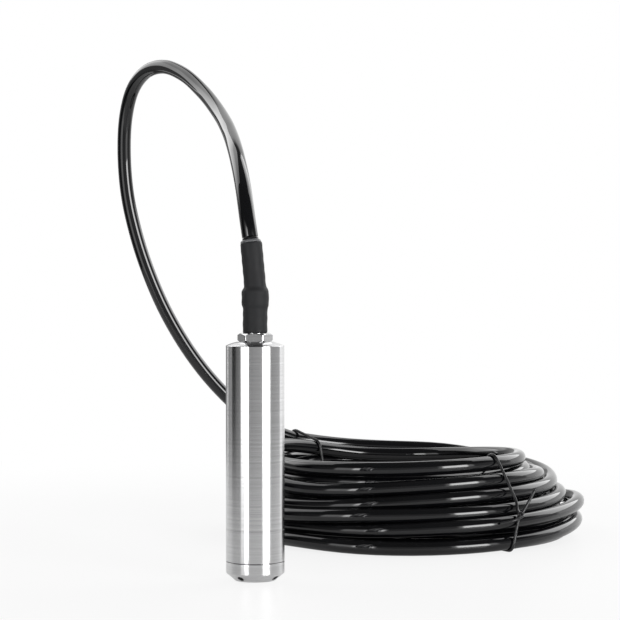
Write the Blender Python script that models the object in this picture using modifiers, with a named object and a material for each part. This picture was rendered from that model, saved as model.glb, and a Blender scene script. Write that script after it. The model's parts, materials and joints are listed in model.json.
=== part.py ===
"""Submersible level transmitter: a steel probe that stands on its nose cap, with its vented cable.

Units are metres, +Z is up, and the origin is the centre of the probe's flat foot.
"""
import math

import bmesh
import bpy
import numpy as np
from mathutils import Matrix, Vector

MM = 0.001

# Fits
GAP = 0.3 * MM  # between pieces that rest on or sit in each other
SEAM_GAP = 0.05 * MM  # between flat steel faces that are screwed tight together
THREAD_GAP = 0.1 * MM  # running clearance of the nose cap's thread
GRIP_GAP = 0.2 * MM  # round a rubber piece that grips the cable

# Probe body
PROBE_RADIUS = 13.0 * MM
TUBE_WALL = 2.0 * MM
EDGE_BREAK = 0.15 * MM
FOOT_CHAMFER_WIDTH = 4.15 * MM
FOOT_CHAMFER_HEIGHT = 3.5 * MM
CAP_HEIGHT = 8.45 * MM
CAP_SEAM = 0.3 * MM
HOUSING_TOP = 22.9 * MM
SHOULDER_START = 104.3 * MM
SHOULDER_RISE = 1.6 * MM
SHOULDER_WIDTH = 5.0 * MM
END_WALL = 4.8 * MM

# Nose cap
CHAMBER_FLOOR = 2.5 * MM
THREAD_COVER = 2.6 * MM  # housing wall outside the nose cap's thread
THREAD_LENGTH = 4.0 * MM
THREAD_WALL = 2.1 * MM
THREAD_FOOT_WALL = 2.3 * MM  # its wall at the chamber
PORT_RADIUS = 1.5 * MM
PORT_COUNT = 4
PORT_FIRST_ANGLE = math.radians(235.0)

# Pressure sensor
SENSOR_COVER = 3.2 * MM  # housing wall outside the sensor
LOCK_RING_HEIGHT = 1.3 * MM
LOCK_RING_WALL = 2.5 * MM
LOCK_RING_SLOT = 1.6 * MM
DIAPHRAGM_RIM_HEIGHT = 0.7 * MM
DIAPHRAGM_RIM_WIDTH = 1.5 * MM
FOIL_THICKNESS = 0.25 * MM
RIPPLE_HEIGHT = 0.1 * MM
RIPPLE_COUNT = 3
HEADER_HEIGHT = 7.9 * MM
SENSOR_RING_GROOVE = 2.0 * MM  # height of the groove in the header
SENSOR_RING_SECTION = 0.8 * MM
PIN_RADIUS = 0.35 * MM
PIN_CIRCLE = 3.5 * MM
PIN_DEPTH = 1.5 * MM
PIN_STAND = 3.8 * MM
PIN_COUNT = 4

# Sensor housing
HOUSING_LEDGE_WIDTH = 1.8 * MM
SPIGOT_LENGTH = 6.1 * MM
HOUSING_RING_GROOVE = 2.0 * MM
HOUSING_RING_SECTION = 0.65 * MM
HOUSING_GROOVE_DEPTH = 1.3 * MM

# Electronics
HOLDER_HEIGHT = 5.0 * MM
LOWER_HOLDER_BASE = 33.0 * MM
BOARD_LENGTH = 41.0 * MM
BOARD_WIDTH = 17.0 * MM
BOARD_THICKNESS = 1.6 * MM
BOARD_FRONT = 1.0 * MM
BOARD_SLOT_DEPTH = 2.2 * MM
WINDOW_WIDTH = 8.0 * MM
WINDOW_BACK = -3.0 * MM
WINDOW_FRONT = -7.5 * MM
LEAD_RADIUS = 0.4 * MM
LEAD_LANES = {"front": 3.0 * MM, "back": 1.0 * MM}  # X of the leads in the lower holder's window
LEAD_LANDINGS = {"front": 4.0 * MM, "back": 2.5 * MM}  # above the lower holder
CORE_RADIUS = 0.65 * MM
WIRE_STEP = 1.6 * MM
BLOCK_WIDTH = 9.0 * MM
BLOCK_DEPTH = 5.0 * MM
BLOCK_HEIGHT = 6.0 * MM
BLOCK_TOP_BELOW_BOARD_TOP = 5.5 * MM
CORE_PITCH = 2.6 * MM
ENTRY_DEPTH = 2.5 * MM
COMPONENT_EDGE = 0.2 * MM
CAN_RADIUS = 2.5 * MM
CAN_LENGTH = 5.0 * MM
BACK_MARGIN = 3.5 * MM  # bare ends of the board's back
COMPONENTS = {  # width, depth and height, from the bottom up, on each face
    "front": {
        "amplifier_chip": (5.0 * MM, 1.6 * MM, 4.2 * MM),
        "transmitter_chip": (7.2 * MM, 2.2 * MM, 8.5 * MM),
    },
    "back": {
        "pass_transistor": (6.6 * MM, 2.3 * MM, 6.0 * MM),
        "surge_suppressor": (4.4 * MM, 2.4 * MM, 7.0 * MM),
        "filter_capacitor": (2 * CAN_RADIUS, CAN_LENGTH, 2 * CAN_RADIUS),
    },
}

# Cable
CABLE_RADIUS = 3.6 * MM
JACKET_END = 91.5 * MM
VENT_RADIUS = 1.0 * MM

# Cable gland
HEX_ACROSS_FLATS = 14.0 * MM
HEX_CORNER_RADIUS = 7.9 * MM
HEX_HEIGHT = 3.75 * MM
HEX_CHAMFER = 0.75 * MM
HEX_CHAMFER_RADIUS = 6.9 * MM
HEX_TURN = math.radians(-3.4)
STEM_RADIUS = 5.8 * MM
STEM_LENGTH = 9.9 * MM
NECK_RADIUS = 4.5 * MM
NECK_LENGTH = 11.8 * MM
GLAND_WALL = 1.0 * MM
GLAND_RING_SECTION = 0.42 * MM
GLAND_RING_SEAT = 1.1 * MM
SEAL_HEIGHT = 5.5 * MM
WASHER_HEIGHT = 0.9 * MM
CLAMP_FLANGE_RADIUS = 5.6 * MM
CLAMP_FLANGE_HEIGHT = 2.3 * MM

# Strain relief
FERRULE_RADIUS = 5.1 * MM
FERRULE_HEIGHT = 6.6 * MM
FERRULE_CHAMFER = 0.6 * MM
SLEEVE_LIFT = 0.6 * MM  # bottom of the sleeve above the hexagon
SLEEVE_WALL = 0.65 * MM
SLEEVE_TOP_WALL = 0.95 * MM
SLEEVE_LENGTH = 40.0 * MM
SLEEVE_TAPER = 1.6 * MM
BEAD_HEIGHT = 0.9 * MM
BEAD_WALL = 0.75 * MM

# Free cable, from the jacket's end in the probe to the coil, chosen by hand
CABLE_ROUTE = [Vector(point) * MM for point in (
    (0.0, 0.0, 91.5),
    (0.0, 0.0, 106.0),
    (0.0, 0.0, 122.0),
    (0.0, 0.0, 130.0),
    (-0.8, 0.0, 139.5),
    (-1.8, 0.4, 149.0),
    (-3.4, 3.0, 160.0),
    (-5.6, 12.0, 174.5),
    (-9.2, 36.0, 189.5),
    (-14.2, 73.0, 203.0),
    (-20.6, 107.0, 214.2),
    (-29.6, 136.0, 226.0),
    (-40.5, 157.0, 236.3),
    (-51.5, 173.0, 241.4),
    (-61.5, 187.0, 239.9),
    (-69.6, 199.5, 231.5),
    (-73.7, 206.0, 218.3),
    (-75.1, 209.5, 200.2),
    (-73.7, 211.0, 177.5),
    (-69.5, 212.0, 156.9),
    (-62.8, 212.5, 135.6),
    (-53.1, 213.0, 113.1),
    (-40.0, 214.0, 90.9),
    (-25.3, 216.0, 72.3),
    (-9.1, 219.0, 57.1),
    (7.2, 223.0, 47.2),
    (13.4, 225.2, 44.9), (19.6, 226.3, 41.4),
)]
CABLE_STEP = 9.0 * MM
ENTRY_STEP = 4.5 * MM
END_STEP = 0.5 * MM

# Coil
COIL_CENTRE = Vector((74.4, 166.0, 0.0)) * MM
COIL_OUTLINE = [(radius * MM, height * MM) for radius, height in (
    (67.0, 45.4), (73.5, 44.2), (77.5, 38.0), (83.5, 28.0), (90.0, 18.5), (91.6, 11.0), (91.6, 4.0),
    (89.5, 0.0), (76.0, 0.0), (74.0, 5.0), (66.0, 26.0), (59.5, 44.0),
)]
COIL_LEAN_START = 22.0 * MM
COIL_LEAN = Vector((-0.62, -0.22, 0.0))  # how far the upper turns lie to the side, per unit of height
COIL_DROOP = 0.09  # share of its height that the coil loses at the back
COIL_REACH = COIL_OUTLINE[0][0]
COIL_SEGMENTS = 48

# Ties round the coil
TIE_RADIUS = 0.8 * MM
TIE_TWISTS = 2
TIE_TWIST_PITCH = 2.8 * MM
TIE_GROOVE_HEIGHT = 3.6 * MM  # room for the tie under the coil
TIE_GROOVE_OVERRUN = 4.0 * MM
TIES = {  # angle round the coil at each height, height of the knot, and bends of the two ends from it
    "coil_tie_right": {
        "heights": (4.0 * MM, 12.0 * MM, 24.0 * MM, 45.0 * MM), "angles": (-58.0, -56.5, -53.5, -54.5),
        "knot": 19.5 * MM,
        "ends": (((3.2, 2.0, 5.0), (6.8, 3.5, 11.5)), ((-4.0, -4.0, -1.6), (-11.5, -5.2, -3.2))),
    },
    "coil_tie_left": {
        "heights": (4.0 * MM, 45.0 * MM), "angles": (133.0, 133.0),
        "knot": 22.0 * MM,
        "ends": (((-1.0, 4.0, 2.5), (-1.0, 8.0, 6.0)), ((-3.0, 2.0, -3.0), (-5.5, 4.0, -7.0))),
    },
}

# Free end, inside the coil
TAIL_ROUTE = [Vector(point) * MM for point in (
    (40.5, 227.2, 3.8),
    (46.0, 229.8, 3.8),
    (56.9, 231.2, 3.8),
    (72.2, 228.0, 3.7),
    (86.4, 218.1, 3.7),
    (96.4, 204.1, 3.7),
    (100.4, 187.9, 3.7),
    (99.3, 173.6, 3.7),
)]
TAIL_STEP = 10.0 * MM
TAIL_CORE_STEP = 3.0 * MM
TAIL_SLEEVE_LENGTH = 16.0 * MM
TAIL_CORE_LENGTH = 22.0 * MM
TAIL_CORE_SPREAD = 2.0 * MM
TAIL_FERRULE_LENGTH = 6.0 * MM
TAIL_FERRULE_RADIUS = 0.9 * MM
TAIL_VENT_LENGTH = 14.0 * MM

# Facets
OUTER_SEGMENTS = 40
INNER_SEGMENTS = 24
SMALL_SEGMENTS = 16

# Places that follow from the sizes above
FOOT_RADIUS = PROBE_RADIUS - FOOT_CHAMFER_WIDTH
THREAD_BORE = PROBE_RADIUS - THREAD_COVER
THREAD_RADIUS = THREAD_BORE - THREAD_GAP
CHAMBER_RADIUS = THREAD_RADIUS - THREAD_FOOT_WALL
SENSOR_BORE = PROBE_RADIUS - SENSOR_COVER
SENSOR_RADIUS = SENSOR_BORE - GAP
HOUSING_LEDGE_RADIUS = SENSOR_BORE - HOUSING_LEDGE_WIDTH
HOUSING_BASE = CAP_HEIGHT + CAP_SEAM
THREAD_TOP = CAP_HEIGHT + THREAD_LENGTH
LOCK_RING_BASE = THREAD_TOP + GAP
LOCK_RING_TOP = LOCK_RING_BASE + LOCK_RING_HEIGHT
DIAPHRAGM_BASE = LOCK_RING_TOP + GAP
DIAPHRAGM_TOP = DIAPHRAGM_BASE + DIAPHRAGM_RIM_HEIGHT
HEADER_BASE = DIAPHRAGM_TOP + GAP
HEADER_TOP = HEADER_BASE + HEADER_HEIGHT
LEDGE_HEIGHT = HEADER_TOP + GAP
TUBE_BORE = PROBE_RADIUS - TUBE_WALL
SPIGOT_RADIUS = TUBE_BORE - GAP
SPIGOT_TOP = HOUSING_TOP + SPIGOT_LENGTH
TUBE_BASE = HOUSING_TOP + SEAM_GAP
TUBE_TOP = SHOULDER_START + SHOULDER_RISE
END_WALL_BASE = SHOULDER_START - END_WALL
HEX_BASE = TUBE_TOP + SEAM_GAP
HEX_TOP = HEX_BASE + HEX_HEIGHT
STEM_BASE = HEX_BASE - STEM_LENGTH
GLAND_BORE = STEM_RADIUS - GLAND_WALL
CABLE_BORE = CABLE_RADIUS + GAP
NECK_TOP = HEX_TOP + NECK_LENGTH
SLEEVE_BASE = HEX_TOP + SLEEVE_LIFT
FERRULE_BASE = NECK_TOP + GAP
FERRULE_TOP = FERRULE_BASE + FERRULE_HEIGHT
LOWER_HOLDER_TOP = LOWER_HOLDER_BASE + HOLDER_HEIGHT
BOARD_BASE = LOWER_HOLDER_TOP - BOARD_SLOT_DEPTH + GAP
BOARD_TOP = BOARD_BASE + BOARD_LENGTH
UPPER_HOLDER_BASE = BOARD_TOP + GAP - BOARD_SLOT_DEPTH
BOARD_BACK = BOARD_FRONT + BOARD_THICKNESS
COMPONENT_FACE = BOARD_FRONT - GAP


def clear_objects():
    for item in list(bpy.data.objects):
        bpy.data.objects.remove(item, do_unlink=True)


def new_collection(name):
    collection = bpy.data.collections.new(name)
    bpy.context.scene.collection.children.link(collection)
    return collection


def finish_material(name, color, metallic, roughness):
    material = bpy.data.materials.new(name)
    material.use_nodes = True
    shader = material.node_tree.nodes["Principled BSDF"]
    shader.inputs["Base Color"].default_value = (*color, 1.0)
    shader.inputs["Metallic"].default_value = metallic
    shader.inputs["Roughness"].default_value = roughness
    return material


clear_objects()
PARTS = new_collection("submersible_level_transmitter")
CUTTERS = new_collection("cutters")
FINISH = {
    "steel": finish_material("turned_steel", (0.62, 0.62, 0.61), 1.0, 0.28),
    "foil": finish_material("diaphragm_foil", (0.70, 0.70, 0.69), 1.0, 0.16),
    "brass": finish_material("plated_brass", (0.72, 0.60, 0.36), 1.0, 0.30),
    "jacket": finish_material("cable_jacket", (0.012, 0.012, 0.014), 0.0, 0.22),
    "sleeve": finish_material("shrink_sleeve", (0.020, 0.020, 0.021), 0.0, 0.62),
    "bead": finish_material("adhesive_bead", (0.30, 0.29, 0.27), 0.0, 0.35),
    "rubber": finish_material("seal_rubber", (0.018, 0.018, 0.018), 0.0, 0.70),
    "board": finish_material("circuit_board", (0.02, 0.17, 0.07), 0.0, 0.45),
    "chip": finish_material("component_black", (0.03, 0.03, 0.03), 0.0, 0.50),
    "holder": finish_material("holder_plastic", (0.75, 0.75, 0.72), 0.0, 0.50),
    "red": finish_material("red_insulation", (0.55, 0.02, 0.02), 0.0, 0.40),
    "black": finish_material("black_insulation", (0.02, 0.02, 0.02), 0.0, 0.40),
    "clear": finish_material("vent_tubing", (0.80, 0.82, 0.80), 0.0, 0.20),
    "tie": finish_material("tie_plastic", (0.015, 0.015, 0.015), 0.0, 0.40),
}


def add_part(name, mesh, finish, smooth_angle=35.0):
    """Put a mesh in the parts collection as one named sub-part."""
    part = bpy.data.objects.new(name, mesh)
    PARTS.objects.link(part)
    mesh.materials.clear()
    mesh.materials.append(FINISH[finish])
    mesh.shade_smooth()
    mesh.set_sharp_from_angle(angle=math.radians(smooth_angle))
    return part


def add_cutter(name, mesh):
    cutter = bpy.data.objects.new(name, mesh)
    CUTTERS.objects.link(cutter)
    cutter.hide_render = True
    cutter.display_type = 'WIRE'
    return cutter


def boolean(part, cutter, operation='DIFFERENCE'):
    modifier = part.modifiers.new(f"{operation.lower()}_{cutter.name}", 'BOOLEAN')
    modifier.operation = operation
    modifier.solver = 'EXACT'
    modifier.object = cutter


def outline_mesh(name, outline, closed):
    """Edges through (radius, height) points in the XZ plane."""
    mesh = bpy.data.meshes.new(name)
    points = [(radius, 0.0, height) for radius, height in outline]
    edges = [(index, index + 1) for index in range(len(points) - 1)]
    if closed:
        edges.append((len(points) - 1, 0))
    mesh.from_pydata(points, edges, [])
    return mesh


def spin(owner, segments):
    """Turn the owner's outline once round Z."""
    screw = owner.modifiers.new("turned", 'SCREW')
    screw.axis = 'Z'
    screw.angle = math.tau
    screw.steps = segments
    screw.render_steps = segments
    screw.use_merge_vertices = True
    screw.merge_threshold = 0.00001


def turned(name, outline, finish, segments=OUTER_SEGMENTS, closed=True):
    """A turned piece. Its outline runs down its outer side, and up its bore if it is closed."""
    part = add_part(name, outline_mesh(name, outline, closed), finish)
    spin(part, segments)
    return part


def ring_outline(inner, outer, base, top, chamfer=0.0):
    """Section of a plain ring, with its outer edges broken."""
    if chamfer == 0.0:
        return [(inner, top), (outer, top), (outer, base), (inner, base)]
    return [
        (inner, top), (outer - chamfer, top), (outer, top - chamfer),
        (outer, base + chamfer), (outer - chamfer, base), (inner, base),
    ]


def torus(name, ring_radius, section_radius, height, finish, segments, sides=6):
    """An O-ring, as a circle turned round Z."""
    outline = []
    for side in range(sides):
        angle = math.pi / 2 - math.tau * side / sides
        outline.append((ring_radius + section_radius * math.cos(angle),
                        height + section_radius * math.sin(angle)))
    return turned(name, outline, finish, segments)


def box_mesh(name, low, high):
    """A box between two corners."""
    mesh = bpy.data.meshes.new(name)
    cage = bmesh.new()
    low = Vector(low)
    high = Vector(high)
    size = high - low
    place = Matrix.Translation((low + high) / 2) @ Matrix.Diagonal((*size, 1.0))
    bmesh.ops.create_cube(cage, size=1.0, matrix=place)
    cage.to_mesh(mesh)
    cage.free()
    return mesh


def box(name, low, high, finish, bevel=0.0):
    part = add_part(name, box_mesh(name, low, high), finish)
    if bevel > 0.0:
        rounding = part.modifiers.new("edges", 'BEVEL')
        rounding.width = bevel
        rounding.segments = 1
    return part


def cylinders_mesh(name, radius, segments, pairs):
    """Cylinders between pairs of end points, in one mesh."""
    mesh = bpy.data.meshes.new(name)
    cage = bmesh.new()
    for start, end in pairs:
        start = Vector(start)
        end = Vector(end)
        turn = Vector((0, 0, 1)).rotation_difference(end - start).to_matrix().to_4x4()
        place = Matrix.Translation((start + end) / 2) @ turn
        bmesh.ops.create_cone(cage, cap_ends=True, segments=segments, radius1=radius,
                              radius2=radius, depth=(end - start).length, matrix=place)
    cage.to_mesh(mesh)
    cage.free()
    return mesh


def smooth_route(points, samples=24):
    """A centripetal Catmull-Rom curve through the points, finely sampled."""
    points = [np.array(point) for point in points]
    points.insert(0, 2 * points[0] - points[1])
    points.append(2 * points[-1] - points[-2])
    curve = []
    for index in range(1, len(points) - 2):
        p0, p1, p2, p3 = points[index - 1:index + 3]
        t0 = 0.0
        t1 = t0 + np.linalg.norm(p1 - p0) ** 0.5
        t2 = t1 + np.linalg.norm(p2 - p1) ** 0.5
        t3 = t2 + np.linalg.norm(p3 - p2) ** 0.5
        for t in np.linspace(t1, t2, samples, endpoint=False):
            a1 = (t1 - t) / (t1 - t0) * p0 + (t - t0) / (t1 - t0) * p1
            a2 = (t2 - t) / (t2 - t1) * p1 + (t - t1) / (t2 - t1) * p2
            a3 = (t3 - t) / (t3 - t2) * p2 + (t - t2) / (t3 - t2) * p3
            b1 = (t2 - t) / (t2 - t0) * a1 + (t - t0) / (t2 - t0) * a2
            b2 = (t3 - t) / (t3 - t1) * a2 + (t - t1) / (t3 - t1) * a3
            curve.append((t2 - t) / (t2 - t1) * b1 + (t - t1) / (t2 - t1) * b2)
    curve.append(points[-2])
    return np.array(curve)


class Path:
    """A smooth route that is read by its length."""

    def __init__(self, route):
        self.curve = smooth_route(route)
        steps = np.linalg.norm(np.diff(self.curve, axis=0), axis=1)
        self.lengths = np.concatenate([[0.0], np.cumsum(steps)])
        self.length = float(self.lengths[-1])

    def at(self, distance):
        return Vector([np.interp(distance, self.lengths, self.curve[:, axis]) for axis in range(3)])

    def between(self, start, end, step):
        count = max(2, round((end - start) / step) + 1)
        return [self.at(distance) for distance in np.linspace(start, end, count)]

    def square_ended(self, start, end, step):
        """Points whose first and last steps are short, so that the end faces stand square to the route."""
        points = self.between(start, end, step)
        points.insert(1, self.at(start + END_STEP))
        points.insert(-1, self.at(end - END_STEP))
        return points

    def at_height(self, height):
        """The length at which the route first reaches a height."""
        return float(self.lengths[np.argmax(self.curve[:, 2] >= height)])


def wire_curve(name, points, radius, resolution, radii=None):
    """A curve object with round section and filled caps."""
    curve = bpy.data.curves.new(name, 'CURVE')
    curve.dimensions = '3D'
    curve.bevel_depth = radius
    curve.bevel_resolution = resolution
    curve.use_fill_caps = True
    curve.twist_mode = 'MINIMUM'
    spline = curve.splines.new('POLY')
    spline.points.add(len(points) - 1)
    for index, point in enumerate(points):
        spline.points[index].co = (*point, 1.0)
        spline.points[index].radius = 1.0 if radii is None else radii[index] / radius
    return curve


def wire(name, points, radius, finish, resolution=2):
    """A wire, tube or cable along points."""
    curve = wire_curve(name, points, radius, resolution)
    curve.materials.append(FINISH[finish])
    part = bpy.data.objects.new(name, curve)
    PARTS.objects.link(part)
    return part


def swept_mesh(name, points, radii, resolution):
    """A closed mesh along points, with its own radius at each."""
    curve = wire_curve(name, points, max(radii), resolution, radii)
    guide = bpy.data.objects.new(f"{name}_guide", curve)
    CUTTERS.objects.link(guide)
    bpy.context.view_layer.update()
    shape = guide.evaluated_get(bpy.context.evaluated_depsgraph_get())
    mesh = bpy.data.meshes.new_from_object(shape)
    mesh.transform(guide.matrix_world)
    bpy.data.objects.remove(guide, do_unlink=True)
    welded = bmesh.new()
    welded.from_mesh(mesh)
    bmesh.ops.remove_doubles(welded, verts=welded.verts, dist=0.00001)
    bmesh.ops.recalc_face_normals(welded, faces=welded.faces)
    welded.to_mesh(mesh)
    welded.free()
    mesh.name = name
    return mesh


LEAD = Path(CABLE_ROUTE)
SLEEVE_START = LEAD.at_height(SLEEVE_BASE)
SLEEVE_END = SLEEVE_START + SLEEVE_LENGTH
BEAD_START = SLEEVE_END + GAP
BEAD_END = BEAD_START + BEAD_HEIGHT


def swept_ring(name, sections, finish, resolution=4):
    """A hollow sleeve on the cable: sections are (length along it, bore radius, outer radius)."""
    points = [LEAD.at(length) for length, bore, outer in sections]
    shell = add_part(name, swept_mesh(name, points, [outer for length, bore, outer in sections],
                                      resolution), finish)
    overrun = 1.0 * MM
    first = LEAD.at(sections[0][0] - overrun)
    last = LEAD.at(sections[-1][0] + overrun)
    bores = [bore for length, bore, outer in sections]
    core = swept_mesh(f"{name}_bore", [first, *points, last], [bores[0], *bores, bores[-1]], resolution)
    boolean(shell, add_cutter(f"{name}_bore", core))
    return shell


def nose_cap():
    outline = [
        (0.0, CHAMBER_FLOOR),
        (CHAMBER_RADIUS, CHAMBER_FLOOR),
        (CHAMBER_RADIUS, CAP_HEIGHT),
        (THREAD_RADIUS - THREAD_WALL, THREAD_TOP),
        (THREAD_RADIUS, THREAD_TOP),
        (THREAD_RADIUS, CAP_HEIGHT),
        (PROBE_RADIUS - EDGE_BREAK, CAP_HEIGHT),
        (PROBE_RADIUS, CAP_HEIGHT - EDGE_BREAK),
        (PROBE_RADIUS, FOOT_CHAMFER_HEIGHT),
        (FOOT_RADIUS, 0.0),
        (0.0, 0.0),
    ]
    cap = turned("nose_cap", outline, "steel", closed=False)
    run = PROBE_RADIUS - FOOT_RADIUS
    slope = math.hypot(run, FOOT_CHAMFER_HEIGHT)
    outward = (FOOT_CHAMFER_HEIGHT / slope, -run / slope)
    middle = ((PROBE_RADIUS + FOOT_RADIUS) / 2, FOOT_CHAMFER_HEIGHT / 2)
    reach = 1.4 * (middle[0] - CHAMBER_RADIUS) / outward[0]
    pairs = []
    for index in range(PORT_COUNT):
        angle = PORT_FIRST_ANGLE + math.tau * index / PORT_COUNT
        ends = []
        for along in (-reach, 2 * PORT_RADIUS):
            radius = middle[0] + along * outward[0]
            height = middle[1] + along * outward[1]
            ends.append((radius * math.cos(angle), radius * math.sin(angle), height))
        pairs.append(ends)
    boolean(cap, add_cutter("port_drills", cylinders_mesh("port_drills", PORT_RADIUS, 16, pairs)))
    return cap


def lock_ring():
    outer = THREAD_BORE - GAP
    ring = turned("sensor_lock_ring", ring_outline(outer - LOCK_RING_WALL, outer, LOCK_RING_BASE,
                                                   LOCK_RING_TOP), "steel", INNER_SEGMENTS)
    slot = box_mesh("lock_ring_slot", (-outer - GAP, -LOCK_RING_SLOT / 2, LOCK_RING_BASE - GAP),
                    (outer + GAP, LOCK_RING_SLOT / 2, LOCK_RING_BASE + LOCK_RING_HEIGHT / 2))
    boolean(ring, add_cutter("lock_ring_slot", slot))
    return ring


def diaphragm():
    """Thin foil with ring-shaped ripples, in a thicker welded rim."""
    foil_radius = SENSOR_RADIUS - DIAPHRAGM_RIM_WIDTH
    middle = (DIAPHRAGM_BASE + DIAPHRAGM_TOP) / 2
    steps = 4 * RIPPLE_COUNT
    radii = [foil_radius * index / steps for index in range(steps + 1)]
    ripple = [RIPPLE_HEIGHT * math.sin(math.pi * index / 2) for index in range(steps + 1)]
    top = [(radius, middle + FOIL_THICKNESS / 2 + lift) for radius, lift in zip(radii, ripple)]
    bottom = [(radius, middle - FOIL_THICKNESS / 2 + lift) for radius, lift in zip(radii, ripple)]
    rim = [
        (foil_radius, DIAPHRAGM_TOP), (SENSOR_RADIUS, DIAPHRAGM_TOP),
        (SENSOR_RADIUS, DIAPHRAGM_BASE), (foil_radius, DIAPHRAGM_BASE),
    ]
    return turned("sensor_diaphragm", top + rim + bottom[::-1], "foil", INNER_SEGMENTS, closed=False)


def pin_place(index):
    angle = math.tau * (index + 0.5) / PIN_COUNT
    return PIN_CIRCLE * math.cos(angle), PIN_CIRCLE * math.sin(angle)


def sensor_header():
    groove_middle = (HEADER_BASE + HEADER_TOP) / 2
    groove_floor = SENSOR_RADIUS - 2 * SENSOR_RING_SECTION + GRIP_GAP / 2
    outline = [
        (0.0, HEADER_TOP),
        (SENSOR_RADIUS, HEADER_TOP),
        (SENSOR_RADIUS, groove_middle + SENSOR_RING_GROOVE / 2),
        (groove_floor, groove_middle + SENSOR_RING_GROOVE / 2),
        (groove_floor, groove_middle - SENSOR_RING_GROOVE / 2),
        (SENSOR_RADIUS, groove_middle - SENSOR_RING_GROOVE / 2),
        (SENSOR_RADIUS, HEADER_BASE),
        (0.0, HEADER_BASE),
    ]
    header = turned("sensor_header", outline, "steel", INNER_SEGMENTS, closed=False)
    pairs = []
    for index in range(PIN_COUNT):
        x, y = pin_place(index)
        pairs.append(((x, y, HEADER_TOP - PIN_DEPTH), (x, y, HEADER_TOP + GAP)))
    drills = cylinders_mesh("pin_drills", PIN_RADIUS + GAP, 12, pairs)
    boolean(header, add_cutter("pin_drills", drills))
    ring_radius = groove_floor + GRIP_GAP / 4 + SENSOR_RING_SECTION
    torus("sensor_oring", ring_radius, SENSOR_RING_SECTION, groove_middle, "rubber", INNER_SEGMENTS)
    return header


def sensor_pins():
    for index in range(PIN_COUNT):
        x, y = pin_place(index)
        ends = [((x, y, HEADER_TOP - PIN_DEPTH + GAP), (x, y, HEADER_TOP + PIN_STAND))]
        add_part(f"sensor_pin_{index + 1}", cylinders_mesh("pin", PIN_RADIUS, 8, ends), "brass")


def sensor_leads():
    """Each lead climbs from its pin, through the lower holder's window, to the board's face."""
    pin_top = HEADER_TOP + PIN_STAND + GAP
    window_y = (WINDOW_FRONT + WINDOW_BACK) / 2
    for index in range(PIN_COUNT):
        x, y = pin_place(index)
        side = "back" if y > 0 else "front"
        lane = math.copysign(LEAD_LANES[side], x)
        land = LOWER_HOLDER_TOP + LEAD_LANDINGS[side]
        middle = (x + lane) / 2
        route = [
            (x, y, pin_top),
            (x, y, pin_top + 0.8 * MM),
            (middle, (y + window_y) / 2, (pin_top + LOWER_HOLDER_BASE) / 2 + 0.6 * MM),
            (lane, window_y, LOWER_HOLDER_BASE + 0.5 * MM),
            (lane, window_y, LOWER_HOLDER_TOP),
            (lane, -1.2 * MM, land),
            (lane, COMPONENT_FACE, land),
        ]
        path = Path(route)
        points = path.between(0.0, path.length, WIRE_STEP)
        wire(f"sensor_lead_{index + 1}", points, LEAD_RADIUS, "red" if x > 0 else "black", 1)


def sensor_housing():
    groove_middle = (HOUSING_TOP + SPIGOT_TOP) / 2
    groove_floor = SPIGOT_RADIUS - HOUSING_GROOVE_DEPTH
    groove_top = groove_middle + HOUSING_RING_GROOVE / 2
    groove_base = groove_middle - HOUSING_RING_GROOVE / 2
    outline = [
        (HOUSING_LEDGE_RADIUS, SPIGOT_TOP),
        (SPIGOT_RADIUS, SPIGOT_TOP),
        (SPIGOT_RADIUS, groove_top),
        (groove_floor, groove_top),
        (groove_floor, groove_base),
        (SPIGOT_RADIUS, groove_base),
        (SPIGOT_RADIUS, HOUSING_TOP),
        (PROBE_RADIUS, HOUSING_TOP),
        (PROBE_RADIUS, HOUSING_BASE + EDGE_BREAK),
        (PROBE_RADIUS - EDGE_BREAK, HOUSING_BASE),
        (THREAD_BORE, HOUSING_BASE),
        (THREAD_BORE, DIAPHRAGM_BASE),
        (SENSOR_BORE, DIAPHRAGM_BASE),
        (SENSOR_BORE, LEDGE_HEIGHT),
        (HOUSING_LEDGE_RADIUS, LEDGE_HEIGHT),
    ]
    turned("sensor_housing", outline, "steel")
    ring_radius = groove_floor + GRIP_GAP / 2 + HOUSING_RING_SECTION
    torus("housing_oring", ring_radius, HOUSING_RING_SECTION, groove_middle, "rubber", INNER_SEGMENTS)


def shoulder_points(count=4):
    """The shoulder, slightly convex, from its flat top down to the tube's edge."""
    points = []
    for index in range(count + 1):
        share = index / count
        radius = PROBE_RADIUS - SHOULDER_WIDTH * (1.0 - share)
        points.append((radius, TUBE_TOP - SHOULDER_RISE * share ** 1.4))
    return points


def main_tube():
    stem_hole = STEM_RADIUS + GAP
    seat_radius = stem_hole + 2 * GLAND_RING_SECTION
    outline = [
        (stem_hole, TUBE_TOP - GLAND_RING_SEAT),
        (seat_radius, TUBE_TOP - GLAND_RING_SEAT),
        (seat_radius, TUBE_TOP),
        *shoulder_points(),
        (PROBE_RADIUS, TUBE_BASE),
        (TUBE_BORE, TUBE_BASE),
        (TUBE_BORE, END_WALL_BASE),
        (stem_hole, END_WALL_BASE),
    ]
    turned("main_tube", outline, "steel")
    middle = (STEM_RADIUS + seat_radius) / 2
    torus("gland_oring", middle, GLAND_RING_SECTION, TUBE_TOP - GLAND_RING_SEAT / 2, "rubber",
          INNER_SEGMENTS)


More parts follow.
